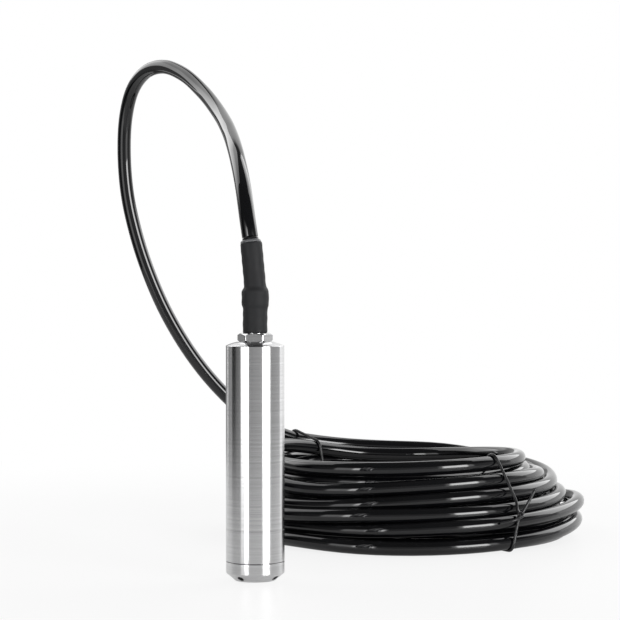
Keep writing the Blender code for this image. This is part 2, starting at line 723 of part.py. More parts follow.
def board_holder(name, base, slot_base, slot_top):
    holder = turned(name, [
        (0.0, base + HOLDER_HEIGHT), (TUBE_BORE - GAP, base + HOLDER_HEIGHT),
        (TUBE_BORE - GAP, base), (0.0, base),
    ], "holder", INNER_SEGMENTS, closed=False)
    half = BOARD_WIDTH / 2 + GAP
    slot = box_mesh(f"{name}_slot", (-half, BOARD_FRONT - GAP, slot_base),
                    (half, BOARD_BACK + GAP, slot_top))
    boolean(holder, add_cutter(f"{name}_slot", slot))
    window = box_mesh(f"{name}_window", (-WINDOW_WIDTH / 2, WINDOW_FRONT, base - GAP),
                      (WINDOW_WIDTH / 2, WINDOW_BACK, base + HOLDER_HEIGHT + GAP))
    boolean(holder, add_cutter(f"{name}_window", window))
    return holder


def electronics():
    board_holder("lower_board_holder", LOWER_HOLDER_BASE, LOWER_HOLDER_TOP - BOARD_SLOT_DEPTH,
                 LOWER_HOLDER_TOP + GAP)
    board_holder("upper_board_holder", UPPER_HOLDER_BASE, UPPER_HOLDER_BASE - GAP,
                 UPPER_HOLDER_BASE + BOARD_SLOT_DEPTH)
    half = BOARD_WIDTH / 2
    box("circuit_board", (-half, BOARD_FRONT, BOARD_BASE), (half, BOARD_BACK, BOARD_TOP), "board")
    block_base = BOARD_TOP - BLOCK_TOP_BELOW_BOARD_TOP - BLOCK_HEIGHT
    zones = {
        "front": (LOWER_HOLDER_TOP + LEAD_LANDINGS["front"] + LEAD_RADIUS, block_base),
        "back": (BOARD_BASE + BACK_MARGIN, BOARD_TOP - BACK_MARGIN),
    }
    for side, parts in COMPONENTS.items():
        low, high = zones[side]
        space = (high - low - sum(height for width, depth, height in parts.values())) / (len(parts) + 1)
        base = low
        for name, (width, depth, height) in parts.items():
            base += space
            near = COMPONENT_FACE - depth if side == "front" else BOARD_BACK + GAP
            if name == "filter_capacitor":
                foot = Vector((0.0, near, base + height / 2))
                ends = [(foot, foot + Vector((0.0, depth, 0.0)))]
                add_part(name, cylinders_mesh("can", CAN_RADIUS, SMALL_SEGMENTS, ends), "steel")
            else:
                box(name, (-width / 2, near, base), (width / 2, near + depth, base + height), "chip",
                    COMPONENT_EDGE)
            base += height


def core_places():
    """X of the cores in the terminal block and in the upper holder's window."""
    return {"supply_wire": -CORE_PITCH, "signal_wire": CORE_PITCH, "screen_wire": 0.0}


def terminal_block():
    top = BOARD_TOP - BLOCK_TOP_BELOW_BOARD_TOP
    front = COMPONENT_FACE - BLOCK_DEPTH
    block = box("terminal_block", (-BLOCK_WIDTH / 2, front, top - BLOCK_HEIGHT),
                (BLOCK_WIDTH / 2, COMPONENT_FACE, top), "holder")
    middle = (front + COMPONENT_FACE) / 2
    pairs = [((x, middle, top - ENTRY_DEPTH), (x, middle, top + GAP)) for x in core_places().values()]
    entries = cylinders_mesh("core_entries", CORE_RADIUS + GAP, 12, pairs)
    boolean(block, add_cutter("core_entries", entries))
    return top, middle


def cores(block_top, block_middle):
    """Cores and vent tube from the jacket's end to the terminal block."""
    starts = {
        "supply_wire": (-1.9 * MM, 0.0),
        "signal_wire": (1.9 * MM, 0.0),
        "screen_wire": (0.0, 1.7 * MM),
    }
    finishes = {"supply_wire": "red", "signal_wire": "black", "screen_wire": "steel"}
    top = JACKET_END - GAP
    lane_y = WINDOW_BACK - 0.95 * MM
    above = UPPER_HOLDER_BASE + HOLDER_HEIGHT
    for name, lane in core_places().items():
        x, y = starts[name]
        route = [
            (x, y, top),
            (x, y, top - 1.5 * MM),
            ((x + lane) / 2, (y + lane_y) / 2, (top + above) / 2),
            (lane, lane_y, above + 0.4 * MM),
            (lane, lane_y, UPPER_HOLDER_BASE),
            (lane, block_middle, block_top + 1.2 * MM),
            (lane, block_middle, block_top - ENTRY_DEPTH + GAP),
        ]
        path = Path(route)
        wire(name, path.between(0.0, path.length, WIRE_STEP), CORE_RADIUS, finishes[name], 1)
    vent_y = WINDOW_FRONT + VENT_RADIUS + 0.35 * MM
    route = [
        (0.0, -0.9 * MM, top),
        (0.0, -1.0 * MM, top - 1.5 * MM),
        (0.0, (vent_y - 1.0 * MM) / 2, (top + above) / 2),
        (0.0, vent_y, above + 0.2 * MM),
        (0.0, vent_y, UPPER_HOLDER_BASE - 3.0 * MM),
    ]
    path = Path(route)
    wire("vent_tube", path.between(0.0, path.length, WIRE_STEP), VENT_RADIUS, "clear", 1)


def hex_die(base, top):
    """A round block with a hexagonal hole, which cuts the collar's flats."""
    block = cylinders_mesh("hex_die", 2 * HEX_CORNER_RADIUS, INNER_SEGMENTS,
                           [((0, 0, base), (0, 0, top))])
    die = add_cutter("hex_die", block)
    corner = HEX_ACROSS_FLATS / 2 / math.cos(math.pi / 6)
    hexagon = cylinders_mesh("hex_hole", corner, 6, [((0, 0, base - GAP), (0, 0, top + GAP))])
    hexagon.transform(Matrix.Rotation(HEX_TURN, 4, 'Z'))
    boolean(die, add_cutter("hex_hole", hexagon))
    return die


def gland():
    outline = [
        (CABLE_BORE, NECK_TOP),
        (NECK_RADIUS, NECK_TOP),
        (NECK_RADIUS, HEX_TOP),
        (HEX_CHAMFER_RADIUS, HEX_TOP),
        (HEX_CORNER_RADIUS, HEX_TOP - HEX_CHAMFER),
        (HEX_CORNER_RADIUS, HEX_BASE + HEX_CHAMFER),
        (HEX_CHAMFER_RADIUS, HEX_BASE),
        (STEM_RADIUS, HEX_BASE),
        (STEM_RADIUS, STEM_BASE),
        (GLAND_BORE, STEM_BASE),
        (GLAND_BORE, HEX_BASE),
        (CABLE_BORE, HEX_BASE),
    ]
    body = turned("gland_body", outline, "steel")
    boolean(body, hex_die(HEX_BASE - SEAM_GAP, HEX_TOP + SEAM_GAP))
    grip = CABLE_RADIUS + GRIP_GAP
    fill = GLAND_BORE - GRIP_GAP
    seal_top = HEX_BASE - GAP
    seal_base = seal_top - SEAL_HEIGHT
    washer_base = seal_base - GAP - WASHER_HEIGHT
    screw_top = washer_base - GAP
    flange_top = min(STEM_BASE - GAP, screw_top)
    turned("gland_seal", ring_outline(grip, fill, seal_base, seal_top, 0.2 * MM), "rubber", INNER_SEGMENTS)
    turned("gland_washer", ring_outline(grip, fill, washer_base, washer_base + WASHER_HEIGHT), "steel",
           INNER_SEGMENTS)
    turned("gland_clamp_screw", [
        (CABLE_BORE, screw_top), (fill, screw_top), (fill, flange_top),
        (CLAMP_FLANGE_RADIUS, flange_top), (CLAMP_FLANGE_RADIUS, flange_top - CLAMP_FLANGE_HEIGHT),
        (CABLE_BORE, flange_top - CLAMP_FLANGE_HEIGHT),
    ], "brass", INNER_SEGMENTS)


def crimp_ferrule():
    turned("crimp_ferrule", ring_outline(CABLE_BORE, FERRULE_RADIUS, FERRULE_BASE, FERRULE_TOP,
                                         FERRULE_CHAMFER), "brass", INNER_SEGMENTS)


def strain_sleeve():
    """Shrunk tubing: over the neck, out over the ferrule, then tight on the cable."""
    neck_bore = NECK_RADIUS + GAP
    ferrule_bore = FERRULE_RADIUS + GAP
    rise = LEAD.at_height(NECK_TOP - SLEEVE_TAPER / 2)
    full = LEAD.at_height(NECK_TOP + GAP)
    over = LEAD.at_height(FERRULE_TOP + GAP)
    tight = over + SLEEVE_TAPER
    middle = (SLEEVE_START + rise) / 2
    upper = (tight + SLEEVE_END) / 2
    bore = CABLE_BORE
    sections = [
        (SLEEVE_START, neck_bore, neck_bore + SLEEVE_WALL),
        (middle, neck_bore, neck_bore + SLEEVE_WALL),
        (rise, neck_bore, neck_bore + SLEEVE_WALL),
        (full, ferrule_bore, ferrule_bore + SLEEVE_WALL),
        (over, ferrule_bore, ferrule_bore + SLEEVE_WALL),
        (tight, bore, bore + SLEEVE_TOP_WALL),
        ((tight + upper) / 2, bore, bore + SLEEVE_TOP_WALL),
        (upper, bore, bore + SLEEVE_TOP_WALL),
        ((upper + SLEEVE_END) / 2, bore, bore + SLEEVE_TOP_WALL),
        (SLEEVE_END, bore, bore + SLEEVE_TOP_WALL),
    ]
    swept_ring("strain_sleeve", sections, "sleeve", 5)
    swept_ring("sleeve_adhesive", [
        (BEAD_START, bore, bore + BEAD_WALL),
        (BEAD_END, bore, bore + BEAD_WALL * 0.6),
    ], "bead")


def cable():
    jacket = LEAD.square_ended(0.0, BEAD_END, ENTRY_STEP)
    wire("cable_entry", jacket, CABLE_RADIUS, "jacket", 3)
    run = LEAD.square_ended(BEAD_END + GAP, LEAD.length, CABLE_STEP)
    wire("cable_run", run, CABLE_RADIUS, "jacket", 3)


def lean(height):
    return COIL_LEAN * max(0.0, height - COIL_LEAN_START)


def drooped(height, back):
    return height * (1.0 - COIL_DROOP * max(0.0, back) / COIL_REACH)


def coil_point(radius, height, angle):
    """A point of the coil's section: the upper turns lean over, and the back is lower."""
    back = radius * math.sin(angle)
    place = Vector((radius * math.cos(angle), back, drooped(height, back)))
    return COIL_CENTRE + place + lean(height)


def turned_mesh(name, outline, segments):
    """The mesh of an outline turned round Z, ready for changes of shape."""
    guide = bpy.data.objects.new(f"{name}_guide", outline_mesh(name, outline, True))
    CUTTERS.objects.link(guide)
    spin(guide, segments)
    bpy.context.view_layer.update()
    shape = guide.evaluated_get(bpy.context.evaluated_depsgraph_get())
    mesh = bpy.data.meshes.new_from_object(shape)
    bpy.data.objects.remove(guide, do_unlink=True)
    return mesh


def offset_outline(distance):
    """The coil's section moved outwards by a distance, as a closed loop."""
    corners = [np.array(corner) for corner in COIL_OUTLINE]
    normals = []
    for index, corner in enumerate(corners):
        along = corners[(index + 1) % len(corners)] - corner
        normals.append(np.array((-along[1], along[0])) / np.linalg.norm(along))
    loop = []
    for index, corner in enumerate(corners):
        before = normals[index - 1]
        after = normals[index]
        loop.append(corner + (before + after) * distance / (1.0 + before @ after))
    return loop


def tie_route(tie):
    """One wire: a loose end, a twist, once round the coil, the twist again and the other end."""
    loop = [(radius, max(height, TIE_RADIUS)) for radius, height in offset_outline(TIE_RADIUS + GAP)]
    loop.append(loop[0])
    loop = np.array(loop)
    lengths = np.concatenate([[0.0], np.cumsum(np.linalg.norm(np.diff(loop, axis=0), axis=1))])
    total = lengths[-1]
    outer_side = [index for index, radius in enumerate(loop[:, 0]) if radius > COIL_OUTLINE[0][0]]
    outer_heights = [loop[index, 1] for index in outer_side[::-1]]
    knot = np.interp(tie["knot"], outer_heights, [lengths[index] for index in outer_side[::-1]]) / total
    gap = 1.2 * TIE_RADIUS / total
    corner_shares = (lengths[:-1] / total - knot) % 1.0
    shares = sorted([gap, 1.0 - gap, *(share for share in corner_shares if gap < share < 1.0 - gap)])
    ring = []
    for share in shares:
        along = (knot + share) % 1.0 * total
        radius = np.interp(along, lengths, loop[:, 0])
        height = np.interp(along, lengths, loop[:, 1])
        ring.append(coil_point(radius, height, math.radians(np.interp(height, tie["heights"], tie["angles"]))))
    start = (ring[0] + ring[-1]) / 2
    angle = math.radians(np.interp(tie["knot"], tie["heights"], tie["angles"]))
    side = (ring[0] - ring[-1]).normalized()
    outward = Vector((math.cos(angle), math.sin(angle), 0.0))
    axis = (outward - side * outward.dot(side)).normalized()
    across = axis.cross(side)
    spread = TIE_RADIUS + GAP / 2
    turns = []
    count = TIE_TWISTS * 6
    for index in range(count + 1):
        turn = math.pi * index / 6
        swing = side * math.cos(turn) + across * math.sin(turn)
        place = start + axis * (1.5 * TIE_RADIUS + TIE_TWIST_PITCH * index / 12)
        turns.append((place + swing * spread, place - swing * spread))
    last, other = turns[-1]
    upper, lower = (last, other) if last.z > other.z else (other, last)
    ends = [[end + Vector(bend) * MM for bend in bends] for end, bends in zip((upper, lower), tie["ends"])]
    end_a, end_b = ends if last.z > other.z else ends[::-1]
    strand_a = [pair[0] for pair in turns]
    strand_b = [pair[1] for pair in turns]
    return [*end_a[::-1], *strand_a[::-1], *ring, *strand_b, *end_b]


def coil():
    mesh = turned_mesh("cable_coil", COIL_OUTLINE, COIL_SEGMENTS)
    for vertex in mesh.vertices:
        shift = lean(vertex.co.z)
        vertex.co.z = drooped(vertex.co.z, vertex.co.y)
        vertex.co += shift
    mesh.transform(Matrix.Translation(COIL_CENTRE))
    ring = add_part("cable_coil", mesh, "jacket")
    for name, tie in TIES.items():
        wire(name, tie_route(tie), TIE_RADIUS, "tie", 1)
        radii = [radius for radius, height in COIL_OUTLINE if height < TIE_GROOVE_HEIGHT]
        half = TIE_RADIUS + 2 * GAP
        groove = box_mesh(f"{name}_groove", (min(radii) - TIE_GROOVE_OVERRUN, -half, -GAP),
                          (max(radii) + TIE_GROOVE_OVERRUN, half, TIE_GROOVE_HEIGHT))
        groove.transform(Matrix.Translation(COIL_CENTRE) @ Matrix.Rotation(math.radians(tie["angles"][0]), 4, 'Z'))
        boolean(ring, add_cutter(f"{name}_groove", groove))


def tail():
    """The free end lies in the coil: jacket, a short shrink sleeve, two cores and the vent tube."""
    path = Path(TAIL_ROUTE)
    sleeve_start = path.length - TAIL_SLEEVE_LENGTH
    wire("cable_tail", path.square_ended(0.0, sleeve_start, TAIL_STEP), CABLE_RADIUS, "jacket", 3)
    sleeve = path.square_ended(sleeve_start + GAP, path.length, TAIL_STEP)
    direction = (sleeve[-1] - sleeve[-2]).normalized()
    direction.z = 0.0
    wire("tail_sleeve", sleeve, CABLE_RADIUS, "sleeve", 3)
    side = direction.cross(Vector((0, 0, 1)))
    start = path.at(path.length) + direction * GAP
    for name, sign in (("red", -1.0), ("black", 1.0)):
        first = start + side * sign * 1.7 * MM
        drop = Vector((0, 0, TAIL_FERRULE_RADIUS + GAP - first.z))
        last = first + direction * TAIL_CORE_LENGTH + side * sign * TAIL_CORE_SPREAD + drop
        route = [first, first + direction * 3 * MM, (first + last) / 2 + side * sign * MM, last]
        core = Path(route)
        points = core.between(0.0, core.length, TAIL_CORE_STEP)
        wire(f"tail_core_{name}", points, CORE_RADIUS, name, 1)
        heading = (points[-1] - points[-2]).normalized()
        heading.z = 0.0
        begin = points[-1] + heading * GAP
        ends = [(begin, begin + heading * TAIL_FERRULE_LENGTH)]
        add_part(f"tail_ferrule_{name}", cylinders_mesh("pin", TAIL_FERRULE_RADIUS, 12, ends), "brass")
    vent_start = start + Vector((0, 0, 0.9 * MM))
    vent = Path([
        vent_start, vent_start + direction * 4 * MM,
        vent_start + direction * TAIL_VENT_LENGTH + Vector((0, 0, VENT_RADIUS + GAP - vent_start.z)),
    ])
    wire("tail_vent_tube", vent.between(0.0, vent.length, TAIL_CORE_STEP), VENT_RADIUS, "clear", 1)


nose_cap()
lock_ring()
diaphragm()
sensor_header()
sensor_pins()
sensor_leads()
sensor_housing()
main_tube()
electronics()
cores(*terminal_block())
gland()
crimp_ferrule()
strain_sleeve()
cable()
coil()
tail()
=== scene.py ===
import json
import math

import bmesh
import bpy
import numpy as np
from mathutils import Matrix, Vector

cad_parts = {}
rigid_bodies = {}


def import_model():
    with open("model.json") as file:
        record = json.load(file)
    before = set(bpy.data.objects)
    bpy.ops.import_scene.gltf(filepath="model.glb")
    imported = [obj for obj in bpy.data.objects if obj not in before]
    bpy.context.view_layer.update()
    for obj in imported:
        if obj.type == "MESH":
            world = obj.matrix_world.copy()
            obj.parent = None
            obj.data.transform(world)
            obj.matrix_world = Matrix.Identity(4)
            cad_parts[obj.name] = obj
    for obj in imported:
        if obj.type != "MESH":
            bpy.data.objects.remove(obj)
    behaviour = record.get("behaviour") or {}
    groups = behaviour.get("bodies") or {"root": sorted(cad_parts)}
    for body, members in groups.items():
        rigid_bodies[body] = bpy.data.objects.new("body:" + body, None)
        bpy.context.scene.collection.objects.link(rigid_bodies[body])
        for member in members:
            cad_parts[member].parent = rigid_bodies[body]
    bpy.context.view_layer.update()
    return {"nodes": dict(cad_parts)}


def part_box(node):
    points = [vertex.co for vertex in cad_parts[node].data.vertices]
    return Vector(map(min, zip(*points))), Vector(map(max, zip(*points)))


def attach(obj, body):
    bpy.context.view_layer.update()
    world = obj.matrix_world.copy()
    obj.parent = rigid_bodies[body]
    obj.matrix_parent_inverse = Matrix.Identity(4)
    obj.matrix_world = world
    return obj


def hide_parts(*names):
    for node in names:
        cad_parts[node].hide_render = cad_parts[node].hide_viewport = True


# Submersible level transmitter: the finish of the steel probe and its coiled cable

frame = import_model()
nodes = frame["nodes"]
mm = 0.001
print("frame loaded:", len(nodes), "CAD nodes")


# Helpers for node trees

def newMaterial(name):
    material = bpy.data.materials.new(name)
    material.use_nodes = True
    tree = material.node_tree
    return material, tree, tree.nodes["Principled BSDF"]


def addNode(tree, kind, **values):
    # attributes go on the node itself, and input values under "inputs"
    node = tree.nodes.new(kind)
    inputs = values.pop("inputs", {})
    for key, value in values.items():
        setattr(node, key, value)
    for key, value in inputs.items():
        node.inputs[key].default_value = value
    return node


def setInputs(node, **values):
    for key, value in values.items():
        node.inputs[key.replace("_", " ")].default_value = value


def addRamp(tree, source, stops):
    # stops: (position, grey or colour)
    ramp = tree.nodes.new("ShaderNodeValToRGB")
    ramp.color_ramp.interpolation = "LINEAR"
    elements = ramp.color_ramp.elements
    while len(elements) > 1:
        elements.remove(elements[-1])
    for index, (position, value) in enumerate(stops):
        color = (value, value, value, 1.0) if isinstance(value, (int, float)) else (*value, 1.0)
        element = elements[0] if index == 0 else elements.new(position)
        element.position = position
        element.color = color
    tree.links.new(source, ramp.inputs["Fac"])
    return ramp


def objectNoise(tree, scale, detail, stretch=(1.0, 1.0, 1.0)):
    # noise over Object coordinates, scale in features per metre, stretched along the axes
    place = addNode(tree, "ShaderNodeTexCoord")
    mapping = addNode(tree, "ShaderNodeMapping", inputs={"Scale": stretch})
    noise = addNode(tree, "ShaderNodeTexNoise",
                    inputs={"Scale": scale, "Detail": detail, "Roughness": 0.5})
    tree.links.new(place.outputs["Object"], mapping.inputs["Vector"])
    tree.links.new(mapping.outputs["Vector"], noise.inputs["Vector"])
    return noise


def addBump(tree, shader, height, strength, distance):
    bump = addNode(tree, "ShaderNodeBump", inputs={"Strength": strength, "Distance": distance})
    tree.links.new(height, bump.inputs["Height"])
    tree.links.new(bump.outputs["Normal"], shader.inputs["Normal"])


def addStep(tree, source, start, end):
    # rises smoothly from 0 to 1 between two values
    step = addNode(tree, "ShaderNodeMapRange", interpolation_type="SMOOTHSTEP",
                   inputs={"From Min": start, "From Max": end})
    tree.links.new(source, step.inputs["Value"])
    return step.outputs["Result"]


def feed(tree, value, socket):
    # a number is set on the socket, and anything else is linked to it
    if isinstance(value, (int, float)):
        socket.default_value = value
    else:
        tree.links.new(value, socket)


def addMath(tree, operation, first, second):
    node = addNode(tree, "ShaderNodeMath", operation=operation)
    feed(tree, first, node.inputs[0])
    feed(tree, second, node.inputs[1])
    return node.outputs[0]


def addBlend(tree, factor, first, second):
    # first where the factor is 0, second where it is 1
    node = addNode(tree, "ShaderNodeMix", data_type="FLOAT")
    feed(tree, factor, node.inputs["Factor"])
    feed(tree, first, node.inputs["A"])
    feed(tree, second, node.inputs["B"])
    return node.outputs["Result"]


# Helpers for meshes

def linkMesh(name, vertices, faces, material, sharpAngle=35.0):
    mesh = bpy.data.meshes.new(name)
    mesh.from_pydata(vertices.tolist(), [], faces)
    mesh.polygons.foreach_set("use_smooth", np.ones(len(mesh.polygons), bool))
    mesh.update()
    mesh.set_sharp_from_angle(angle=math.radians(sharpAngle))
    mesh.materials.append(material)
    piece = bpy.data.objects.new(name, mesh)
    bpy.context.scene.collection.objects.link(piece)
    return piece


def gridFaces(rows, columns, closeRows, closeColumns):
    # quads of a grid of points, row after row, with either direction closed into a ring
    rowCount = rows if closeRows else rows - 1
    columnCount = columns if closeColumns else columns - 1
    row, column = np.meshgrid(np.arange(rowCount), np.arange(columnCount), indexing="ij")
    nextRow = (row + 1) % rows
    nextColumn = (column + 1) % columns
    corners = [row * columns + column, row * columns + nextColumn,
               nextRow * columns + nextColumn, nextRow * columns + column]
    return np.stack([corner.ravel() for corner in corners], axis=1).tolist()


def turnedGrid(outline, segments):
    # a point of the outline at (r, z) goes to (r cos t, r sin t, z), t once round
    outline = np.asarray(outline, float)
    angle = np.linspace(0.0, math.tau, segments, endpoint=False)
    x = np.outer(outline[:, 0], np.cos(angle))
    y = np.outer(outline[:, 0], np.sin(angle))
    z = np.repeat(outline[:, 1:2], segments, axis=1)
    return np.stack([x, y, z], axis=2).reshape(-1, 3)


def addTurnedUv(piece, turnsName="turning"):
    # u runs once round the Z axis, v is the height in metres
    mesh = piece.data
    count = len(mesh.loops)
    index = np.zeros(count, np.int32)
    mesh.loops.foreach_get("vertex_index", index)
    points = np.zeros(len(mesh.vertices) * 3)
    mesh.vertices.foreach_get("co", points)
    points = points.reshape(-1, 3)[index]
    turn = np.arctan2(points[:, 1], points[:, 0]) / math.tau + 0.5
    starts = np.zeros(len(mesh.polygons), np.int32)
    totals = np.zeros(len(mesh.polygons), np.int32)
    mesh.polygons.foreach_get("loop_start", starts)
    mesh.polygons.foreach_get("loop_total", totals)
    first = np.repeat(turn[starts], totals)
    turn = turn - np.round(turn - first)
    layer = mesh.uv_layers.new(name=turnsName)
    layer.data.foreach_set("uv", np.stack([turn, points[:, 2]], axis=1).astype(np.float32).ravel())


def turnedPiece(name, outline, material, segments=192, closed=True):
    # the outline, outer side upwards first, turned round Z into one closed surface
    vertices = turnedGrid(outline, segments)
    faces = gridFaces(len(outline), segments, closed, True)
    if not closed:
        faces.append(list(range(segments))[::-1])
        last = (len(outline) - 1) * segments
        faces.append(list(range(last, last + segments)))
    piece = linkMesh(name, vertices, faces, material)
    recalculate(piece)
    addTurnedUv(piece)
    return piece


def recalculate(piece):
    shape = bmesh.new()
    shape.from_mesh(piece.data)
    bmesh.ops.recalc_face_normals(shape, faces=shape.faces)
    shape.to_mesh(piece.data)
    shape.free()


def smoothLine(points, step):
    # centripetal Catmull-Rom through the points, sampled about every step
    points = np.asarray(points, float)
    ends = np.vstack([2 * points[0] - points[1], points, 2 * points[-1] - points[-2]])
    p0, p1, p2, p3 = ends[:-3], ends[1:-2], ends[2:-1], ends[3:]
    knot = [np.zeros(len(p1))]
    for a, b in ((p0, p1), (p1, p2), (p2, p3)):
        knot.append(knot[-1] + np.sqrt(np.linalg.norm(b - a, axis=1)))
    t0, t1, t2, t3 = [k[:, None, None] for k in knot]
    share = np.linspace(0.0, 1.0, 24, endpoint=False)[None, :, None]
    t = t1 + (t2 - t1) * share
    p0, p1, p2, p3 = [p[:, None, :] for p in (p0, p1, p2, p3)]
    a1 = (t1 - t) / (t1 - t0) * p0 + (t - t0) / (t1 - t0) * p1
    a2 = (t2 - t) / (t2 - t1) * p1 + (t - t1) / (t2 - t1) * p2
    a3 = (t3 - t) / (t3 - t2) * p2 + (t - t2) / (t3 - t2) * p3
    b1 = (t2 - t) / (t2 - t0) * a1 + (t - t0) / (t2 - t0) * a2
    b2 = (t3 - t) / (t3 - t1) * a2 + (t - t1) / (t3 - t1) * a3
    curve = (t2 - t) / (t2 - t1) * b1 + (t - t1) / (t2 - t1) * b2
    curve = np.vstack([curve.reshape(-1, 3), points[-1]])
    return evenly(curve, step)


def lengthsAlong(line):
    # length from the start of the line to each of its points
    return np.concatenate([[0.0], np.cumsum(np.linalg.norm(np.diff(line, axis=0), axis=1))])


def evenly(line, step):
    # the same line with its points an even distance apart
    lengths = lengthsAlong(line)
    count = max(2, int(round(lengths[-1] / step)) + 1)
    places = np.linspace(0.0, lengths[-1], count)
    return np.stack([np.interp(places, lengths, values) for values in line.T], axis=1)


def lineLength(line):
    return float(np.linalg.norm(np.diff(line, axis=0), axis=1).sum())


def linkCurve(name, line, radius, material, bevelResolution):
    data = bpy.data.curves.new(name, "CURVE")
    data.dimensions = "3D"
    data.bevel_depth = radius
    data.bevel_resolution = bevelResolution
    data.use_fill_caps = True
    spline = data.splines.new("POLY")
    spline.points.add(len(line) - 1)
    spline.points.foreach_set("co", np.hstack([line, np.ones((len(line), 1))]).ravel())
    spline.use_smooth = True
    data.materials.append(material)
    piece = bpy.data.objects.new(name, data)
    bpy.context.scene.collection.objects.link(piece)
    return piece


# Finishes

steelFinish = {"color": (0.62, 0.62, 0.625), "roughness": 0.18, "anisotropy": 0.9,
               "quarterTurn": 0.25, "turnsPerMetre": 1100.0}


def steelMaterial(name, turnsName="turning"):
    material, tree, shader = newMaterial(name)
    setInputs(shader, Metallic=1.0, Roughness=steelFinish["roughness"],
              Anisotropic=steelFinish["anisotropy"], Anisotropic_Rotation=steelFinish["quarterTurn"])
    rings = objectNoise(tree, 1.0, 3.0, (6.0, 6.0, steelFinish["turnsPerMetre"]))
    tint = addRamp(tree, rings.outputs["Fac"], [
        (0.35, tuple(0.88 * c for c in steelFinish["color"])),
        (0.65, tuple(1.06 * c for c in steelFinish["color"])),
    ])
    tree.links.new(tint.outputs["Color"], shader.inputs["Base Color"])
    addBump(tree, shader, rings.outputs["Fac"], 0.12, 0.00004)
    tangent = addNode(tree, "ShaderNodeTangent", direction_type="UV_MAP", uv_map=turnsName)
    tree.links.new(tangent.outputs["Tangent"], shader.inputs["Tangent"])
    return material


def millMaterial(name, color=(0.62, 0.62, 0.62), roughness=0.24):
    material, tree, shader = newMaterial(name)
    setInputs(shader, Metallic=1.0)
    grain = objectNoise(tree, 900.0, 4.0)
    tint = addRamp(tree, grain.outputs["Fac"], [
        (0.3, tuple(0.88 * c for c in color)), (0.7, tuple(min(1.0, 1.08 * c) for c in color))])
    tree.links.new(tint.outputs["Color"], shader.inputs["Base Color"])
    rough = addRamp(tree, grain.outputs["Fac"], [(0.3, roughness * 0.8), (0.7, roughness * 1.25)])
    tree.links.new(rough.outputs["Color"], shader.inputs["Roughness"])
    addBump(tree, shader, grain.outputs["Fac"], 0.1, 0.00003)
    return material


def mouldedMaterial(name, color, roughness=0.5, grainScale=1600.0, bump=0.15, coat=0.0, specular=0.5):
    material, tree, shader = newMaterial(name)
    setInputs(shader, Specular_IOR_Level=specular, Coat_Weight=coat)
    grain = objectNoise(tree, grainScale, 3.0)
    tint = addRamp(tree, grain.outputs["Fac"], [
        (0.3, tuple(0.85 * c for c in color)), (0.7, tuple(min(1.0, 1.15 * c) for c in color))])
    tree.links.new(tint.outputs["Color"], shader.inputs["Base Color"])
    rough = addRamp(tree, grain.outputs["Fac"], [
        (0.3, roughness * 0.85), (0.7, min(1.0, roughness * 1.15))])
    tree.links.new(rough.outputs["Color"], shader.inputs["Roughness"])
    addBump(tree, shader, grain.outputs["Fac"], bump, 0.00005)
    return material


jacketFinish = {"color": (0.0028, 0.0029, 0.0035), "roughness": 0.05, "mottle": 60.0, "ripple": 90.0}


def jacketMaterial():
    material, tree, shader = newMaterial("cableJacket")
    mottle = objectNoise(tree, jacketFinish["mottle"], 3.0)
    tint = addRamp(tree, mottle.outputs["Fac"], [
        (0.3, tuple(0.75 * c for c in jacketFinish["color"])),
        (0.7, tuple(1.3 * c for c in jacketFinish["color"])),
    ])
    tree.links.new(tint.outputs["Color"], shader.inputs["Base Color"])
    rough = addRamp(tree, mottle.outputs["Fac"], [
        (0.3, jacketFinish["roughness"] * 0.8), (0.7, jacketFinish["roughness"] * 1.3)])
    tree.links.new(rough.outputs["Color"], shader.inputs["Roughness"])
    ripple = objectNoise(tree, jacketFinish["ripple"], 1.0)
    addBump(tree, shader, ripple.outputs["Fac"], 0.06, 0.0002)
    return material


steel = steelMaterial("turnedSteel")
jacket = jacketMaterial()
sleeveBlack = mouldedMaterial("shrinkSleeve", (0.014, 0.0143, 0.0155), 0.62, 2600.0, 0.35, specular=0.22)
beadGrey = mouldedMaterial("adhesiveBead", (0.085, 0.086, 0.09), 0.42, 700.0, 0.2)
tieWire = mouldedMaterial("tieWire", (0.012, 0.012, 0.013), 0.35, 1800.0, 0.25)
print("finishes made")


# Cable: from the sleeve over the back, twelve turns, and the free end inside the ring

